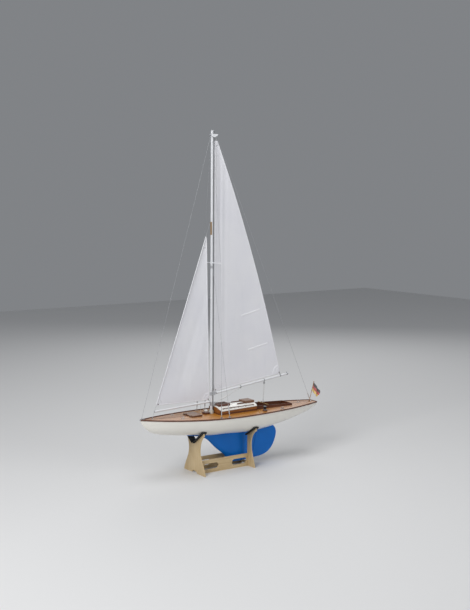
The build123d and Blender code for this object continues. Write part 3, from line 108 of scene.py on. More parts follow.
# ---- Cradle: two shaped frames and two side panels of 5 mm birch plywood ----
# Cut from one sheet, so the faces show birch grain and the edges show the thin plies.
# The panels' tabs are glued into slots in the frames.
class Shade:
    """A value in a finish's shader that takes arithmetic."""

    def __init__(self, finish, socket):
        self.finish = finish
        self.socket = socket

    def math(self, operation, *others):
        values = dict(enumerate((self, *others)))
        return self.finish.node("ShaderNodeMath", {"operation": operation}, values)

    def __add__(self, other):
        return self.math("ADD", other)

    def __mul__(self, other):
        return self.math("MULTIPLY", other)

    def __sub__(self, other):
        return self.math("SUBTRACT", other)

    def __truediv__(self, other):
        return self.math("DIVIDE", other)

    def __rsub__(self, other):
        return self.finish.node("ShaderNodeMath", {"operation": "SUBTRACT"}, {0: other, 1: self})

    def __pow__(self, other):
        return self.math("POWER", other)

    __radd__ = __add__
    __rmul__ = __mul__

    def band(self, low, high):
        """0 below low, 1 above high, smooth between."""
        ends = {0: self, 1: low, 2: high, 3: 0.0, 4: 1.0}
        return self.finish.node("ShaderNodeMapRange", {"interpolation_type": "SMOOTHSTEP"}, ends)


class Finish:
    """A material made of shader nodes around one surface shader."""

    def __init__(self, name, roughness, **fixed):
        self.material = bpy.data.materials.new(name)
        self.material.use_nodes = True
        self.tree = self.material.node_tree
        self.surface = self.tree.nodes["Principled BSDF"]
        self.surface.inputs["Roughness"].default_value = roughness
        for words, value in fixed.items():
            socket = words.replace("_", " ").title().replace("Ior", "IOR")
            self.surface.inputs[socket].default_value = value

    def node(self, kind, settings, sockets, out=0):
        """Adds a node: its settings first, then what its sockets hold or are joined to."""
        made = self.tree.nodes.new(kind)
        for name, value in settings.items():
            setattr(made, name, value)
        for name, value in sockets.items():
            if isinstance(value, Shade):
                self.tree.links.new(value.socket, made.inputs[name])
            else:
                made.inputs[name].default_value = value
        return Shade(self, made.outputs[out])

    def place(self, scale=(1, 1, 1)):
        """The point on the piece, stretched for a pattern."""
        where = self.node("ShaderNodeTexCoord", {}, {}, "Object")
        return self.node("ShaderNodeMapping", {}, {"Vector": where, "Scale": scale})

    def axes(self):
        """The three distances from the frame's origin, in metres."""
        point = self.node("ShaderNodeTexCoord", {}, {}, "Object")
        return [self.node("ShaderNodeSeparateXYZ", {}, {0: point}, axis) for axis in range(3)]

    def noise(self, scale, point=None, detail=3.0):
        sockets = {"Vector": point or self.place(), "Scale": scale, "Detail": detail}
        return self.node("ShaderNodeTexNoise", {}, sockets, "Fac")

    def blend(self, share, first, second):
        """From the first colour to the second as the share goes from 0 to 1."""
        return self.node("ShaderNodeMix", {"data_type": "RGBA"}, {0: share, 6: first, 7: second}, 2)

    def wear(self, colour=None, roughness=None, height=None, strength=0.2, depth=0.001):
        """Joins what changes over the surface to the surface shader."""
        for name, value in (("Base Color", colour), ("Roughness", roughness)):
            if value is not None:
                self.tree.links.new(value.socket, self.surface.inputs[name])
        if height is not None:
            sockets = {"Height": height, "Strength": strength, "Distance": depth}
            raised = self.node("ShaderNodeBump", {}, sockets)
            self.tree.links.new(raised.socket, self.surface.inputs["Normal"])
        return self

    def on(self, *names):
        """Gives this finish to CAD pieces."""
        for name in names:
            slots = nodes[name].data.materials
            slots.clear()
            slots.append(self.material)
        return self


fore_frame_x = 0.22675
frame_spacing = 0.282
panel_y = 0.036
panel_thickness = 0.005
joint_top = 0.0205


def birch(name, across, first, pitch):
    """Birch plywood whose plies lie across one axis, for boards that repeat at a pitch."""
    finish = Finish(name, 0.55, coat_weight=0.05)
    through = finish.axes()[across]
    depth = (through - first).math("PINGPONG", pitch / 2).math("ABSOLUTE")
    millimetres = depth * 1000.0
    ply = millimetres.math("PINGPONG", 1.0).band(0.42, 0.58)
    long_grain = (220, 220, 9) if across == 0 else (9, 220, 220)
    grain = finish.noise(1.0, finish.place(long_grain), 4.0)
    cloud = finish.noise(14.0)
    tone = finish.blend(grain.band(0.32, 0.72), (0.66, 0.51, 0.29, 1), (0.52, 0.37, 0.19, 1))
    tone = finish.blend(cloud.band(0.35, 0.75) * 0.45, tone, (0.72, 0.58, 0.36, 1))
    tone = finish.blend(ply * 0.35, tone, (0.40, 0.26, 0.12, 1))
    if across == 0:
        _, side, up = finish.axes()
        from_panel = (side.math("ABSOLUTE") - panel_y).math("ABSOLUTE")
        edge = (from_panel - panel_thickness / 2).math("ABSOLUTE")
        joint = (1.0 - edge.band(0.0003, 0.0007)) * (1.0 - up.band(joint_top, joint_top + 0.0005))
        tone = finish.blend(joint * 0.85, tone, (0.06, 0.04, 0.02, 1))
    return finish.wear(tone, grain * 0.2 + 0.42, grain, 0.12, 0.0004)


birch("birch_frames", 0, fore_frame_x, frame_spacing).on("stand_frames")
birch("birch_panels", 1, panel_y, 2 * panel_y).on("stand_panels")


# ---- Cradle pads: strips of dense black foam glued to the frames' arms ----
# They keep the painted hull off the wood. The foam has a fine closed-cell skin.
foam = Finish("black_foam", 0.9)
cells = foam.noise(900.0, detail=2.0)
dust = foam.noise(30.0)
tone = foam.blend(dust.band(0.4, 0.8) * 0.5, (0.012, 0.012, 0.013, 1), (0.045, 0.044, 0.042, 1))
foam.wear(tone, dust * 0.15 + 0.8, cells, 0.5, 0.0004).on("stand_pads")


# ---- Hull: a moulded shell sprayed gloss cream-white ----
# The keel is sprayed a satin blue, and the rudder behind it matches. The ballast is lead, let
# into the keel.
def gloss_paint(name, colour, shadow, scale, coat, shine=0.5):
    """Sprayed paint with a faint orange-peel skin and slow changes of tone."""
    finish = Finish(name, 0.3, coat_weight=coat, coat_roughness=0.08, specular_ior_level=shine)
    slow = finish.noise(scale, detail=2.0)
    peel = finish.noise(420.0, detail=2.0)
    tone = finish.blend(slow.band(0.3, 0.75), colour, shadow)
    return finish.wear(tone, slow * 0.10 + 0.30, peel, 0.05, 0.0003)


cream = gloss_paint("cream_topsides", (0.84, 0.815, 0.755, 1), (0.815, 0.79, 0.725, 1), 3.0, coat=0.35)
cream.on("hull_shell")
blue = gloss_paint("keel_blue", (0.0, 0.165, 0.62, 1), (0.0, 0.138, 0.53, 1), 8.0, coat=0.0, shine=0.25)
blue.on("keel_fin", "rudder_blade")


def cast_metal(name, colour, roughness, grain, stain, amount=0.3):
    """Bare metal with fine scratches and a dull bloom in patches."""
    finish = Finish(name, roughness, metallic=1.0)
    scratch = finish.noise(1.0, finish.place(grain), 3.0)
    bloom = finish.noise(60.0)
    tone = finish.blend(bloom.band(0.45, 0.8) * amount, colour, stain)
    return finish.wear(tone, scratch * 0.25 + roughness, scratch, 0.1, 0.0002)


lead = cast_metal("lead", (0.28, 0.29, 0.31, 1), 0.5, (90, 90, 90),
                  stain=(0.12, 0.12, 0.13, 1))
lead.on("keel_ballast")


# ---- Inside the hull: bulkheads and radio tray in plywood, with the radio gear ----
# Servo, sail winch, receiver and battery sit on the tray under the cabin. The rudder tube is
# brass, and the stock that turns in it is stainless.
inner_ply = Finish("inner_plywood", 0.6)
grain = inner_ply.noise(1.0, inner_ply.place((12, 160, 160)), 4.0)
tone = inner_ply.blend(grain, (0.62, 0.47, 0.28, 1), (0.45, 0.31, 0.16, 1))
inner_ply.wear(tone, grain * 0.2 + 0.5, grain, 0.1, 0.0004).on("bulkheads", "radio_tray")


def darker(colour, share):
    """A colour with its red, green and blue at a share of what they were."""
    return tuple(share * c for c in colour[:3]) + (1,)


def moulded(name, colour, roughness):
    """Moulded plastic with a fine spark texture."""
    finish = Finish(name, roughness)
    spark = finish.noise(300.0, detail=2.0)
    tone = finish.blend(finish.noise(25.0) * 0.5, colour, darker(colour, 0.72))
    return finish.wear(tone, spark * 0.2 + roughness - 0.1, spark, 0.15, 0.0003)


moulded("gear_black", (0.030, 0.030, 0.034, 1), 0.5).on("radio_gear", "servo_horn", "winch_drum")
steel = cast_metal("stainless", (0.60, 0.61, 0.63, 1), 0.25, (400, 400, 30),
                   stain=(0.42, 0.41, 0.40, 1))
steel.on("rudder_stock", "pushrod", "hatch_hinge_pins", "stay_plates", "mast_brackets", "boom_toggle",
         "masthead_crane", "jib_fittings")
brass = cast_metal("brass", (0.78, 0.53, 0.20, 1), 0.22, (200, 200, 200),
                   stain=(0.35, 0.20, 0.07, 1), amount=0.5)
brass.on("rudder_tube", "deck_brassware")


# ---- Deck: narrow varnished planks sprung along the deck edge ----
# A mahogany covering board runs round the edge and a king plank down the middle, with dark
# caulking between all planks. The ends are paler than the middle.

# The deck edge: furthest out at widest_x, running in to a point at the bow and to a narrow stern
widest_x = 0.03775
half_breadth = 0.124
stern_narrowing = 0.096
to_bow = 0.480
to_stern = 0.520
plank_width = 0.0062
plank_length = 0.19
covering_board = 0.0083
king_plank_half = 0.0049
planks = Finish("laid_deck", 0.45, coat_weight=0.12, coat_roughness=0.2)
along, across, _ = planks.axes()
from_middle = across.math("ABSOLUTE")
fore_reach = ((along - widest_x) / to_bow).math("MAXIMUM", 0.0)
aft_reach = ((widest_x - along) / to_stern).math("MAXIMUM", 0.0)
edge_y = half_breadth - fore_reach ** 2.2 * half_breadth - aft_reach ** 2.2 * stern_narrowing
inboard = edge_y - from_middle

# Planks are counted inwards from the covering board, and each is cut into lengths at butts
count = (inboard - (covering_board + 0.0002)) / plank_width
number = count.math("FLOOR")
within = (count.math("FRACT") - 0.5).math("ABSOLUTE")
shuffle = planks.node("ShaderNodeTexWhiteNoise", {"noise_dimensions": "1D"}, {"W": number}, "Value")
length_count = along / plank_length + shuffle * 7.0
butt = (length_count.math("FRACT") - 0.5).math("ABSOLUTE").band(0.494, 0.498)
piece_mark = planks.node("ShaderNodeTexWhiteNoise", {"noise_dimensions": "1D"},
                         {"W": number * 13.0 + length_count.math("FLOOR")}, "Value")

# The covering board and the king plank have no planks in them, and a seam along their edges
margin = 1.0 - inboard.band(covering_board - 0.0003, covering_board + 0.0001)
king = 1.0 - from_middle.band(king_plank_half - 0.0003, king_plank_half + 0.0001)
seams = within.band(0.435, 0.465).math("MAXIMUM", butt) * (1.0 - margin) * (1.0 - king)
from_margin = (inboard - covering_board).math("ABSOLUTE")
from_king = (from_middle - king_plank_half).math("ABSOLUTE")
rim = from_margin.math("MINIMUM", from_king)
caulk = seams.math("MAXIMUM", 1.0 - rim.band(0.0003, 0.0006))

grain = planks.noise(1.0, planks.place((14, 420, 420)), 4.0)
warm = planks.blend(piece_mark, (0.56, 0.235, 0.016, 1), (0.42, 0.155, 0.012, 1))
pale = planks.blend(piece_mark, (0.62, 0.37, 0.235, 1), (0.50, 0.285, 0.17, 1))
# The planks turn paler and less red towards both ends
paler_ends = (along - 0.03).math("ABSOLUTE").band(0.10, 0.34)
tone = planks.blend(paler_ends, warm, pale)
tone = planks.blend(grain.band(0.35, 0.75) * 0.35, tone, (0.20, 0.09, 0.03, 1))
tone = planks.blend(margin.math("MAXIMUM", king) * 0.85, tone, (0.16, 0.050, 0.018, 1))
tone = planks.blend(caulk * 0.85, tone, (0.05, 0.03, 0.02, 1))
planks.wear(tone, grain * 0.15 + 0.38, grain * 0.3 - caulk, 0.25, 0.0004).on("deck")


# ---- Dark mahogany: rub rail, hatches, coamings and mouldings ----
# Solid strips and boards, stained dark and varnished, so the grain shows under the gloss.
def varnished(name, light, dark, grain_scale=(10, 260, 260), coat=0.15):
    """Varnished hardwood, its grain along the hull if no other way is given."""
    finish = Finish(name, 0.42, coat_weight=coat, coat_roughness=0.2)
    figure = finish.noise(1.0, finish.place(grain_scale), 5.0)
    pores = finish.noise(1.0, finish.place(tuple(3.5 * g for g in grain_scale)), 2.0)
    cloud = finish.noise(22.0)
    tone = finish.blend(figure.band(0.3, 0.7), light, dark)
    tone = finish.blend(pores.band(0.58, 0.7) * 0.5, tone, darker(dark, 0.4))
    tone = finish.blend(cloud.band(0.4, 0.8) * 0.25, tone, light)
    return finish.wear(tone, figure * 0.16 + 0.34, pores, 0.1, 0.0003)


mahogany = varnished("mahogany", (0.155, 0.046, 0.018, 1), (0.075, 0.021, 0.009, 1))
mahogany.on("rub_rail", "roof_rails", "skylight_frame", "cockpit_coamings", "hatch_coaming",
            "deck_blocks")
# A paler varnish on the hatch lids and the cockpit seats
paler_varnish = varnished("hatch_top", (0.25, 0.125, 0.065, 1), (0.155, 0.070, 0.035, 1))
paler_varnish.on("companion_hatch", "fore_hatch_lid", "cockpit_seats")
lining = varnished("well_lining", (0.14, 0.06, 0.03, 1), (0.08, 0.03, 0.015, 1), coat=0.1)
lining.on("cockpit_well")
upright_grain = (300, 300, 12)
staff = varnished("staff_wood", (0.42, 0.22, 0.08, 1), (0.26, 0.12, 0.04, 1), upright_grain)
staff.on("flagstaff")


# ---- Cabin: varnished sides under an arched plywood roof sprayed white ----
# The skylight is glazed with smoked sheet, and the deck vent is white moulded plastic.
roof_paint = gloss_paint("cabin_white", (0.84, 0.83, 0.79, 1), (0.80, 0.785, 0.74, 1), 9.0, coat=0.15)
roof_paint.on("coachroof")
varnished("cabin_teak", (0.36, 0.130, 0.020, 1), (0.22, 0.075, 0.013, 1)).on("cabin_sides")
moulded("vent_white", (0.80, 0.80, 0.78, 1), 0.4).on("vent_cowl")
smoked = Finish("smoked_glazing", 0.06, transmission_weight=0.75, ior=1.49)
haze = smoked.noise(40.0)
tone = smoked.blend(haze, (0.16, 0.10, 0.07, 1), (0.24, 0.16, 0.11, 1))
smoked.wear(tone, haze * 0.08 + 0.03).on("skylight_glass")


# ---- Mast and spars: grooved alloy tube, satin anodised ----
# Drawn lengthwise, so fine lines run along each tube. The step is cream plastic and the
# hounds fitting a tan moulding.
def drawn_alloy(name, grain_scale):
    """Anodised tube with fine lines along it, which the grain's scale sets."""
    finish = Finish(name, 0.36, metallic=0.15)
    lines = finish.noise(1.0, finish.place(grain_scale), 3.0)
    cloud = finish.noise(9.0)
    tone = finish.blend(lines * 0.6 + cloud * 0.4, (0.86, 0.87, 0.89, 1), (0.66, 0.67, 0.70, 1))
    return finish.wear(tone, lines * 0.18 + 0.26, lines, 0.1, 0.0002)


mast_finish = drawn_alloy("mast_alloy", (900, 900, 5)).on("mast")

# The groove down the mast's aft side lies in shadow, so the alloy is darkened there.
mast_foot_x, mast_foot_z = 0.13425, 0.28591
mast_top_x, mast_top_z = 0.12509, 1.59788
mast_radius = 0.006
mast_lean = (mast_top_x - mast_foot_x) / (mast_top_z - mast_foot_z)
run, _, up = mast_finish.axes()
behind = mast_foot_x - run + (up - mast_foot_z) * mast_lean
groove = behind.band(mast_radius - 0.0010, mast_radius + 0.0002) * 0.9
plain = Shade(mast_finish, mast_finish.surface.inputs["Base Color"].links[0].from_socket)
mast_finish.wear(mast_finish.blend(groove, plain, (0.10, 0.10, 0.105, 1)))

drawn_alloy("boom_alloy", (6, 900, 900)).on("main_boom", "jib_boom")
drawn_alloy("spreader_alloy", (900, 8, 900)).on("spreaders")
moulded("step_cream", (0.66, 0.64, 0.58, 1), 0.45).on("mast_step")
moulded("vang_white", (0.74, 0.74, 0.72, 1), 0.4).on("boom_vang")
moulded("hounds_tan", (0.30, 0.20, 0.11, 1), 0.6).on("hounds_band")
moulded("fitting_grey", (0.34, 0.345, 0.36, 1), 0.4).on("boom_fittings")


# ---- Standing rigging: twisted stainless wire with rigging screws ----
# The strands wind round each wire, so a close spiral shows at the surface, with painted shade in the
# grooves between them.
def wire_finish(name, colour, pitch, roughness):
    """Bright wire or thread whose turns follow each other at a pitch."""
    finish = Finish(name, roughness, metallic=0.4)
    x, y, z = finish.axes()
    lay = (z / pitch + x / pitch + y / pitch).math("FRACT")
    # The grooves between the strands: they sink in the relief and carry painted shade in the colour
    groove_relief_and_shade = (lay - 0.5).math("ABSOLUTE").band(0.28, 0.5)
    tone = finish.blend(groove_relief_and_shade * 0.6, colour, darker(colour, 0.45))
    return finish.wear(tone, groove_relief_and_shade * 0.2 + roughness, 1.0 - groove_relief_and_shade, 0.35, 0.0002)


wire_finish("rigging_wire", (0.40, 0.41, 0.43, 1), 0.0016, 0.45).on("shrouds", "stays", "jib_stay")
wire_finish("screw_thread", (0.66, 0.67, 0.69, 1), 0.0010, 0.22).on("turnbuckles")


# ---- Mainsail: one panel of white cloth, laced to the boom and set on the mast ----
# The cut follows its plain solid's outline. It takes a slight belly to starboard, with soft
# creases that run down beside the luff, and its edges are taped.
class SailCut:
    """A sail's flat outline, read from its plain solid, and the shape it takes up."""

    rows = 240
    foot_fade = 0.16

    def __init__(self, node, belly, creases):
        mesh = nodes[node].data
        points = [v.co for v in mesh.vertices]
        self.belly = belly
        self.creases = creases
        self.low = min(p.z for p in points)
        self.high = max(p.z for p in points)
        far_off = 9.0
        self.fore = [-far_off] * (self.rows + 1)
        self.aft = [far_off] * (self.rows + 1)
        for edge in mesh.edges:
            a, b = sorted((points[i] for i in edge.vertices), key=lambda p: p.z)
            first = max(0, int(self.row_at(a.z)) - 1)
            last = min(self.rows, int(self.row_at(b.z)) + 2)
            for row in range(first, last + 1):
                z = min(max(self.height(row), self.low + 1e-6), self.high - 1e-6)
                if a.z <= z <= b.z and b.z - a.z > 1e-9:
                    x = a.x + (b.x - a.x) * (z - a.z) / (b.z - a.z)
                    self.fore[row] = max(self.fore[row], x)
                    self.aft[row] = min(self.aft[row], x)
        self.widest = max(f - a for f, a in zip(self.fore, self.aft))

    def height(self, row):
        """The height of a row, of which the outline has one every few millimetres."""
        return self.low + (self.high - self.low) * row / self.rows

    def row_at(self, z):
        return (z - self.low) / (self.high - self.low) * self.rows

    def ends(self, z):
        """Fore and aft limits of the cloth at a height."""
        at = min(max(self.row_at(z), 0), self.rows - 1e-6)
        row, part = int(at), at - int(at)
        return [side[row] * (1 - part) + side[row + 1] * part for side in (self.fore, self.aft)]

    def lift(self, x, z):
        """How far the cloth stands to starboard of the centre plane."""
        fore, aft = self.ends(z)
        chord = max(fore - aft, 1e-4)
        u = min(max((fore - x) / chord, 0), 1)
        rise = min(max((z - self.low) / self.foot_fade, 0), 1)
        rise = rise * rise * (3 - 2 * rise)
        full = self.belly * sqrt(chord / self.widest) * rise * sin(pi * u ** 0.8)
        back = fore - x
        pinned = min(6 * u, 1) * min(6 * (1 - u), 1) * rise
        for where, wide, tall in self.creases:
            full += tall * pinned * exp(-((back - where) / wide) ** 2)
        return full


def fresh(name):
    """Names the piece that was just added or joined, and its mesh."""
    piece = bpy.context.object
    piece.name = name
    piece.data.name = name
    return piece


def cloth_grid(name, columns, rows, place):
    """A grid of cloth, each point placed by its share across and up, with its own UV map."""
    bpy.ops.object.select_all(action="DESELECT")
    bpy.ops.mesh.primitive_grid_add(x_subdivisions=columns, y_subdivisions=rows, size=1, calc_uvs=True)
    piece = fresh(name)
    for v in piece.data.vertices:
        v.co = place(v.co.x + 0.5, v.co.y + 0.5)
    piece.data.update()
    return piece


def thicken(piece, thickness):
    """Gives a single layer of cloth its thickness, half to each side."""
    bpy.context.view_layer.objects.active = piece
    wall = piece.modifiers.new("wall", "SOLIDIFY")
    wall.thickness = thickness
    wall.offset = 0
    bpy.ops.object.modifier_apply(modifier=wall.name)
    bpy.ops.object.shade_smooth()
    return piece


def sailcloth(name, colour):
    """Woven polyester sailcloth: a fine square weave, pressed folds with painted shade along them, and
    a soft sheen.
    """
    finish = Finish(name, 0.6, sheen_weight=0.25, sheen_roughness=0.4)
    x, _, z = finish.axes()
    warp = ((x * 2600.0).math("SINE") + (z * 2600.0).math("SINE")) * 0.25 + 0.5
    folds = finish.noise(1.0, finish.place((30, 30, 5)), 3.0)
    cloud = finish.noise(7.0, detail=2.0)
    cool_shade = (0.93 * colour[0], 0.93 * colour[1], 0.96 * colour[2], 1)
    tone = finish.blend(cloud.band(0.3, 0.75) * 0.6, colour, cool_shade)
    # Painted shade: the cloth is darkened along the fold streaks, which also carry the folds' relief
    tone = finish.blend(folds.band(0.5, 0.8) * 0.25, tone, (0.66, 0.67, 0.71, 1))
    finish.wear(tone, warp * 0.1 + 0.52, warp * 0.15 + folds, 0.25, 0.0010)
    return finish


cloth = sailcloth("sailcloth", (0.78, 0.78, 0.81, 1))
taped = sailcloth("sail_tape", (0.83, 0.83, 0.855, 1))
pocketed = sailcloth("batten_cloth", (0.93, 0.93, 0.95, 1))

# Each crease: how far it runs behind the luff, its half width and how far it stands out
main_creases = ((0.030, 0.009, 0.0016), (0.058, 0.012, 0.0011), (0.13, 0.05, -0.0012))
main_belly = 0.009
main_cut = SailCut("mainsail", main_belly, main_creases)
cloth_thickness = 0.0005
tape_thickness = 0.0011
inner_patch, outer_patch = 0.0015, 0.0010
corners = [v.co for v in nodes["mainsail"].data.vertices]
main_tack = min(corners, key=lambda p: p.z)
main_clew = min(corners, key=lambda p: p.x)
main_head_z = max(p.z for p in corners)


def main_point(u, v):
    """A point in the cloth, from luff to leech and from foot to head."""
    luff_z = main_tack.z + (main_head_z - main_tack.z) * v
    leech_z = main_clew.z + (main_head_z - main_clew.z) * v
    fore = main_cut.ends(luff_z)[0]
    aft = main_clew.x if v == 0 else main_cut.ends(leech_z)[1]
    x, z = fore + (aft - fore) * u, luff_z + (leech_z - luff_z) * u
    return Vector((x, -main_cut.lift(x, z), z))


mainsail = thicken(cloth_grid("mainsail_cloth", 56, 130, main_point), cloth_thickness)
mainsail.data.materials.append(cloth.material)
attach(mainsail, "main_rig")
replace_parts(mainsail, "mainsail")


def edge_tape(place, start, end, inward_way, width, steps):
    """A folded tape along one edge of a sail, given by two corners in the sail's shares."""
    def spot(across, along):
        u, v = (a + (b - a) * along for a, b in zip(start, end))
        base = place(u, v)
        inward = place(u + 0.02 * inward_way[0], v + 0.02 * inward_way[1]) - base
        inward.y = 0
        return base + inward.normalized() * (width * across)
    return cloth_grid("edge_tape", 3, steps, spot)


def lay_on(piece, cut, thickness, finish=taped):
    """Lets a flat trimming follow the sail's shape, and gives it its thickness."""
    for v in piece.data.vertices:
        v.co.y = -cut.lift(v.co.x, v.co.z)
    piece.data.update()
    thicken(piece, thickness)
    piece.data.materials.append(finish.material)
    return piece


def fan_patch(corner, toward_a, toward_b, radius):
    """A corner reinforcement: a fan of cloth between a sail's two edges."""
    a = (toward_a - corner).normalized()
    b = (toward_b - corner).normalized()
    def spot(across, along):
        way = (a * (1 - across) + b * across).normalized()
        return corner + way * (0.002 + radius * along)
    return cloth_grid("corner_patch", 10, 8, spot)


def join(name, pieces):
    """Makes one piece of several, under the first one's data and a new name."""
    bpy.ops.object.select_all(action="DESELECT")
    for piece in pieces:
        piece.select_set(True)
    bpy.context.view_layer.objects.active = pieces[0]
    bpy.ops.object.join()
    return fresh(name)


head_fore = Vector((main_cut.ends(main_head_z)[0], 0, main_head_z))
tack_flat = Vector((main_tack.x, 0, main_tack.z))
clew_flat = Vector((main_clew.x, 0, main_clew.z))
trimmings = []
for start, end, inward_way, width, steps in (
    ((0, 0), (0, 1), (1, 0), 0.007, 120),
    ((1, 0), (1, 1), (-1, 0), 0.006, 120),
    ((0, 0), (1, 0), (0, 1), 0.006, 50),
):
    tape = edge_tape(main_point, start, end, inward_way, width, steps)
    trimmings.append(lay_on(tape, main_cut, tape_thickness))
for radius, thickness in ((0.045, outer_patch), (0.028, inner_patch)):
    patch = fan_patch(clew_flat, tack_flat, main_point(1, 0.1), radius)
    trimmings.append(lay_on(patch, main_cut, thickness, cloth))
for radius, thickness in ((0.036, outer_patch), (0.022, inner_patch)):
    patch = fan_patch(tack_flat, head_fore, clew_flat, radius)
    trimmings.append(lay_on(patch, main_cut, thickness, cloth))
main_tapes = join("mainsail_tapes", trimmings)
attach(main_tapes, "main_rig")


def joint_record(name):
    """The record's entry for a joint, with its place and its axis."""
    return next(j for j in frame["record"]["behaviour"]["joints"] if j["name"] == name)


# Luff strip: the part of the cloth that runs from the sail into the mast's groove.
gooseneck = Vector(joint_record("main_swing")["pos_m"])
luff_depth = 0.0074


def luff_point(u, v):
    """A point in the strip, from the groove to the sail and from foot to head."""
    z = main_tack.z + 0.004 + (main_head_z - main_tack.z - 0.006) * v
    return Vector((main_cut.ends(z)[0] + luff_depth * (1 - u), 0, z))


luff = thicken(cloth_grid("mainsail_luff", 6, 60, luff_point), cloth_thickness)
luff.data.materials.append(cloth.material)
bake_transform(luff)


# ---- Battens and headboard: white plastic strips sewn into the leech ----
# Two battens stiffen the leech in cloth pockets, and the headboard spreads the top corner.

# Each batten: the x and z of its fore end in the sail, then of its aft end at the leech
batten_lines = (((-0.0430, 0.7277), (-0.1495, 0.7532)), ((-0.0830, 0.5586), (-0.1950, 0.5842)))
pocket_half_width = 0.0032
pocket_thickness = 0.0017
board_rise = 0.024
board_thickness = 0.0022


def batten_pocket(fore_end, aft_end):
    """A narrow pocket from one end of a batten to the other."""
    begin = Vector((fore_end[0], 0, fore_end[1]))
    run = Vector((aft_end[0], 0, aft_end[1])) - begin
    up = Vector((-run.z, 0, run.x)).normalized() * -pocket_half_width
    return cloth_grid("batten_pocket", 40, 3, lambda u, v: begin + run * u + up * (2 * v - 1))


def headboard_point(u, v):
    """A point in the small plate, which is wider at its foot than at its top."""
    width = 0.0105 + 0.0035 * (1 - v)
    drop = 0.0015 + board_rise * (1 - v) * (1 - 0.25 * u)
    return Vector((head_fore.x - 0.001 - width * u, 0, main_head_z - drop))


pockets = [lay_on(batten_pocket(*ends), main_cut, pocket_thickness, pocketed) for ends in batten_lines]
pockets.append(lay_on(cloth_grid("headboard", 4, 8, headboard_point), main_cut, board_thickness))
battens = join("batten_pockets", pockets)
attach(battens, "main_rig")
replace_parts(battens, "sail_battens")


# ---- Jib: the smaller sail, with a sleeve that runs up its stay ----
# It is laced to the jib boom at its tack and clew, and taped like the mainsail.
jib_creases = ((0.10, 0.020, 0.0012), (0.165, 0.018, -0.0010))
jib_belly = 0.0065
jib_cut = SailCut("jib", jib_belly, jib_creases)
sleeve_radius = 0.0016
sleeve_foot, sleeve_head = 0.058, 0.872
sleeve_thickness = 0.0004
corners = [v.co for v in nodes["jib"].data.vertices]
jib_head_z = max(p.z for p in corners)
jib_tack = max(corners, key=lambda p: p.x - 0.2 * p.z)
jib_clew = min(corners, key=lambda p: p.z)
tack_z = jib_tack.z + 0.001


def jib_point(u, v):
    """A point in the cloth, from luff to leech and from foot to head."""
    luff_z = tack_z + (jib_head_z - tack_z) * v
    leech_z = jib_clew.z + (jib_head_z - jib_clew.z) * v
    fore = jib_cut.ends(luff_z)[0] - sleeve_radius
    aft = jib_clew.x if v == 0 else jib_cut.ends(leech_z)[1]
    x, z = fore + (aft - fore) * u, luff_z + (leech_z - luff_z) * u
    return Vector((x, -jib_cut.lift(x, z), z))


jib = thicken(cloth_grid("jib_cloth", 40, 100, jib_point), cloth_thickness)
jib.data.materials.append(cloth.material)
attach(jib, "jib_rig")
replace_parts(jib, "jib")

jib_foot = Vector(joint_record("jib_swing")["pos_m"])
jib_axis = Vector(joint_record("jib_swing")["axis"])
sideways = Vector((0, 1, 0))


def sleeve_point(u, v):
    """A point round the stay and along it."""
    along_stay = sleeve_foot + (sleeve_head - sleeve_foot) * v
    across_stay = jib_axis.cross(sideways).normalized()
    turn = 2 * pi * u
    around = across_stay * cos(turn) + sideways * sin(turn)
    return jib_foot + jib_axis * along_stay + around * sleeve_radius


sleeve = thicken(cloth_grid("luff_sleeve", 12, 90, sleeve_point), sleeve_thickness)
sleeve.data.materials.append(taped.material)
head_flat = Vector((jib_cut.ends(jib_head_z - 0.003)[0], 0, jib_head_z - 0.003))
jib_tack_flat = jib_point(0, 0)
jib_tack_flat.y = 0
jib_clew_flat = Vector((jib_clew.x, 0, jib_clew.z))
tape_end = 0.992
trimmings = [sleeve]
for start, end, inward_way, width, steps in (
    ((0, 0), (0, tape_end), (1, 0), 0.007, 90),
    ((1, 0), (1, tape_end), (-1, 0), 0.005, 90),
    ((0, 0), (1, 0), (0, 1), 0.005, 40),
):
    tape = edge_tape(jib_point, start, end, inward_way, width, steps)
    trimmings.append(lay_on(tape, jib_cut, tape_thickness))
for corner, toward_a, toward_b, radius, thickness in (
    (jib_clew_flat, jib_tack_flat, jib_point(1, 0.2), 0.036, outer_patch),
    (jib_clew_flat, jib_tack_flat, jib_point(1, 0.2), 0.022, inner_patch),
    (jib_tack_flat, jib_point(0, 0.2), jib_clew_flat, 0.030, outer_patch),
    (head_flat, jib_point(0, 0.9), jib_point(1, 0.9), 0.050, outer_patch),
):
    patch = fan_patch(corner, toward_a, toward_b, radius)
    trimmings.append(lay_on(patch, jib_cut, thickness, cloth))
jib_tapes = join("jib_tapes", trimmings)
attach(jib_tapes, "jib_rig")


# ---- Sheets and lashings: white braided cord ----
# The main sheet runs from the horse over the cockpit up to its block on the boom and back.
# The jib sheet comes out of a deck eye.
def braid(name, colour, size):
    """Braided polyester, its strands crossing at a size."""
    finish = Finish(name, 0.75, sheen_weight=0.3)
    x, y, z = finish.axes()
    left = ((z + x) / size).math("FRACT") - 0.5
    right = ((z - x + y) / size).math("FRACT") - 0.5
    weave = left.math("ABSOLUTE").math("MAXIMUM", right.math("ABSOLUTE")).band(0.3, 0.5)
    # Painted shade: the cord is darkened in the hollows between the crossing strands, which also sink
    # in the relief
    tone = finish.blend(weave, colour, darker(colour, 0.55))
    return finish.wear(tone, weave * 0.1 + 0.7, 1.0 - weave, 0.4, 0.0003)


cord = braid("braided_cord", (0.72, 0.72, 0.70, 1), 0.0018)


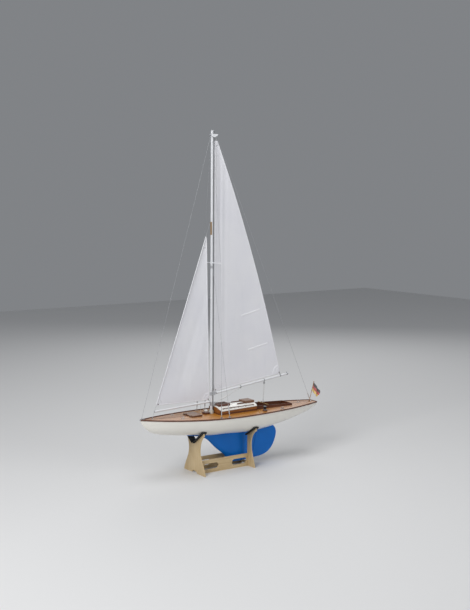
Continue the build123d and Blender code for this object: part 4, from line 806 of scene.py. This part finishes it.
def sheet_cord(name, start, end, radius):
    """One taut cord between the boat and a rig."""
    start, end = Vector(start), Vector(end)
    route = [start, start.lerp(end, 0.5), end]
    curve = bpy.data.curves.new(name, "CURVE")
    curve.dimensions = "3D"
    curve.bevel_depth = radius
    curve.bevel_resolution = 2
    curve.use_fill_caps = True
    line = curve.splines.new("NURBS")
    line.points.add(len(route) - 1)
    for point, at in zip(line.points, route):
        point.co = (*at, 1)
    line.order_u = 3
    line.use_endpoint_u = True
    line.resolution_u = 48
    piece = bpy.data.objects.new(name, curve)
    bpy.context.scene.collection.objects.link(piece)
    bpy.ops.object.select_all(action="DESELECT")
    piece.select_set(True)
    bpy.context.view_layer.objects.active = piece
    bpy.ops.object.convert(target="MESH")
    piece.data.materials.append(cord.material)
    bpy.ops.object.shade_smooth()
    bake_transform(piece)
    return piece


# The two falls stand a little apart: open_fall is the gap between them at the boom's block
sheet_radius = 0.0008
jib_sheet_radius = 0.0006
open_fall = 0.0022
end_gap = 0.0003
sheet_low, sheet_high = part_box("mainsheet")
block_x = sheet_low.x + sheet_radius + open_fall
horse_x = sheet_high.x - sheet_radius - open_fall / 2
for name, way in (("main_sheet_fore", 1), ("main_sheet_aft", -1)):
    at_horse = (horse_x + way * open_fall / 2, 0, sheet_low.z + end_gap)
    at_block = (block_x + way * open_fall, 0, sheet_high.z - end_gap)
    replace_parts(sheet_cord(name, at_horse, at_block, sheet_radius), "mainsheet")

jib_sheet_low, jib_sheet_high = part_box("jib_sheet")
jib_sheet_x = (jib_sheet_low.x + jib_sheet_high.x) / 2
jib_sheet = sheet_cord("jib_sheet_cord", (jib_sheet_x, 0, jib_sheet_low.z),
                       (jib_sheet_x, 0, jib_sheet_high.z), jib_sheet_radius)
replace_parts(jib_sheet, "jib_sheet")
cord.on("main_lines", "jib_lines")


# ---- Eyelets: dark pressed rings at the sails' corners ----
# Each is rolled over on both faces of the cloth.
bronze = cast_metal("dark_bronze", (0.10, 0.08, 0.06, 1), 0.4, (300, 300, 300),
                    stain=(0.04, 0.035, 0.03, 1))


def eyelet(name, x, z, body, cut):
    """One ring at a place in a sail, lying flat in the cloth."""
    bpy.ops.object.select_all(action="DESELECT")
    bpy.ops.mesh.primitive_torus_add(major_radius=0.0019, minor_radius=0.0013, major_segments=24,
                                     minor_segments=8, location=(x, -cut.lift(x, z), z),
                                     rotation=(pi / 2, 0, 0))
    piece = fresh(name)
    bpy.ops.object.transform_apply()
    bpy.ops.object.shade_smooth()
    piece.data.materials.append(bronze.material)
    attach(piece, body)


eyelet("main_clew_eyelet", main_clew.x + 0.006, main_clew.z + 0.0045, "main_rig", main_cut)
eyelet("main_tack_eyelet", main_tack.x - 0.006, main_tack.z + 0.006, "main_rig", main_cut)
eyelet("jib_clew_eyelet", jib_clew.x + 0.0055, jib_clew.z + 0.0050, "jib_rig", jib_cut)
eyelet("jib_tack_eyelet", jib_tack_flat.x - 0.010, jib_tack_flat.z + 0.0035, "jib_rig", jib_cut)


# ---- Deck fittings: chromed cleats and sheet winches ----
# The winch drums are dark anodised alloy with a bright top and base.
chrome = cast_metal("chrome", (0.72, 0.73, 0.75, 1), 0.14, (300, 300, 300),
                    stain=(0.4, 0.4, 0.42, 1), amount=0.2)
chrome.on("mooring_cleats")
winch_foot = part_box("deck_winches")[0].z
base_height = 0.0040
top_height = 0.0180
drum = Finish("winch_drum_alloy", 0.3, metallic=0.85)
up = drum.axes()[2]
above_base = up.band(winch_foot + base_height - 0.0002, winch_foot + base_height + 0.0002)
under_top = 1.0 - up.band(winch_foot + top_height - 0.0002, winch_foot + top_height + 0.0002)
rings = (up * 1400.0).math("SINE") * 0.5 + 0.5
tone = drum.blend(above_base * under_top, (0.42, 0.43, 0.44, 1), (0.030, 0.030, 0.034, 1))
drum.wear(tone, rings * 0.15 + 0.25, rings, 0.3, 0.0002).on("deck_winches")


# ---- Flag: a small cloth of three bands on a raked staff ----
# It hangs from its hoist in soft folds that deepen towards the lower fly corner.

# The cloth's four corners, as its plain solid has them
hoist_top = Vector((-0.4795, 0.008, 0.3610))
hoist_foot = Vector((-0.4667, 0.008, 0.3190))
fly_top = Vector((-0.5200, 0.008, 0.3092))
fly_foot = Vector((-0.4995, 0.008, 0.2832))
deep_fold = 0.0052
small_fold = 0.0013
flag_thickness = 0.0004


def flag_point(u, v):
    """A point in the flag, from hoist to fly and from foot to top, with its folds."""
    foot = hoist_foot * (1 - u) + fly_foot * u
    top = hoist_top * (1 - u) + fly_top * u
    spot = foot * (1 - v) + top * v
    spot.y += sin(2 * pi * (1.9 * u + 0.55 * v)) * deep_fold * u ** 0.6
    spot.y += sin(2 * pi * (3.4 * u - 0.5 * v)) * small_fold * u
    return spot


flag = thicken(cloth_grid("ensign", 44, 24, flag_point), flag_thickness)
bunting = Finish("flag_cloth", 0.8, sheen_weight=0.3)
on_cloth = bunting.node("ShaderNodeUVMap", {}, {})
side = bunting.node("ShaderNodeSeparateXYZ", {}, {0: on_cloth}, 0)
up = bunting.node("ShaderNodeSeparateXYZ", {}, {0: on_cloth}, 1)
threads = ((up * 700.0).math("SINE") + (side * 1000.0).math("SINE")) * 0.25 + 0.5
stripe = bunting.blend(up.band(0.325, 0.342), (0.82, 0.60, 0.20, 1), (0.54, 0.10, 0.10, 1))
stripe = bunting.blend(up.band(0.658, 0.675), stripe, (0.08, 0.08, 0.09, 1))
stripe = bunting.blend(threads * 0.2, stripe, (0.6, 0.5, 0.45, 1))
bunting.wear(stripe, threads * 0.1 + 0.75, threads, 0.3, 0.0003)
flag.data.materials.append(bunting.material)
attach(flag, "boat")
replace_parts(flag, "flag")
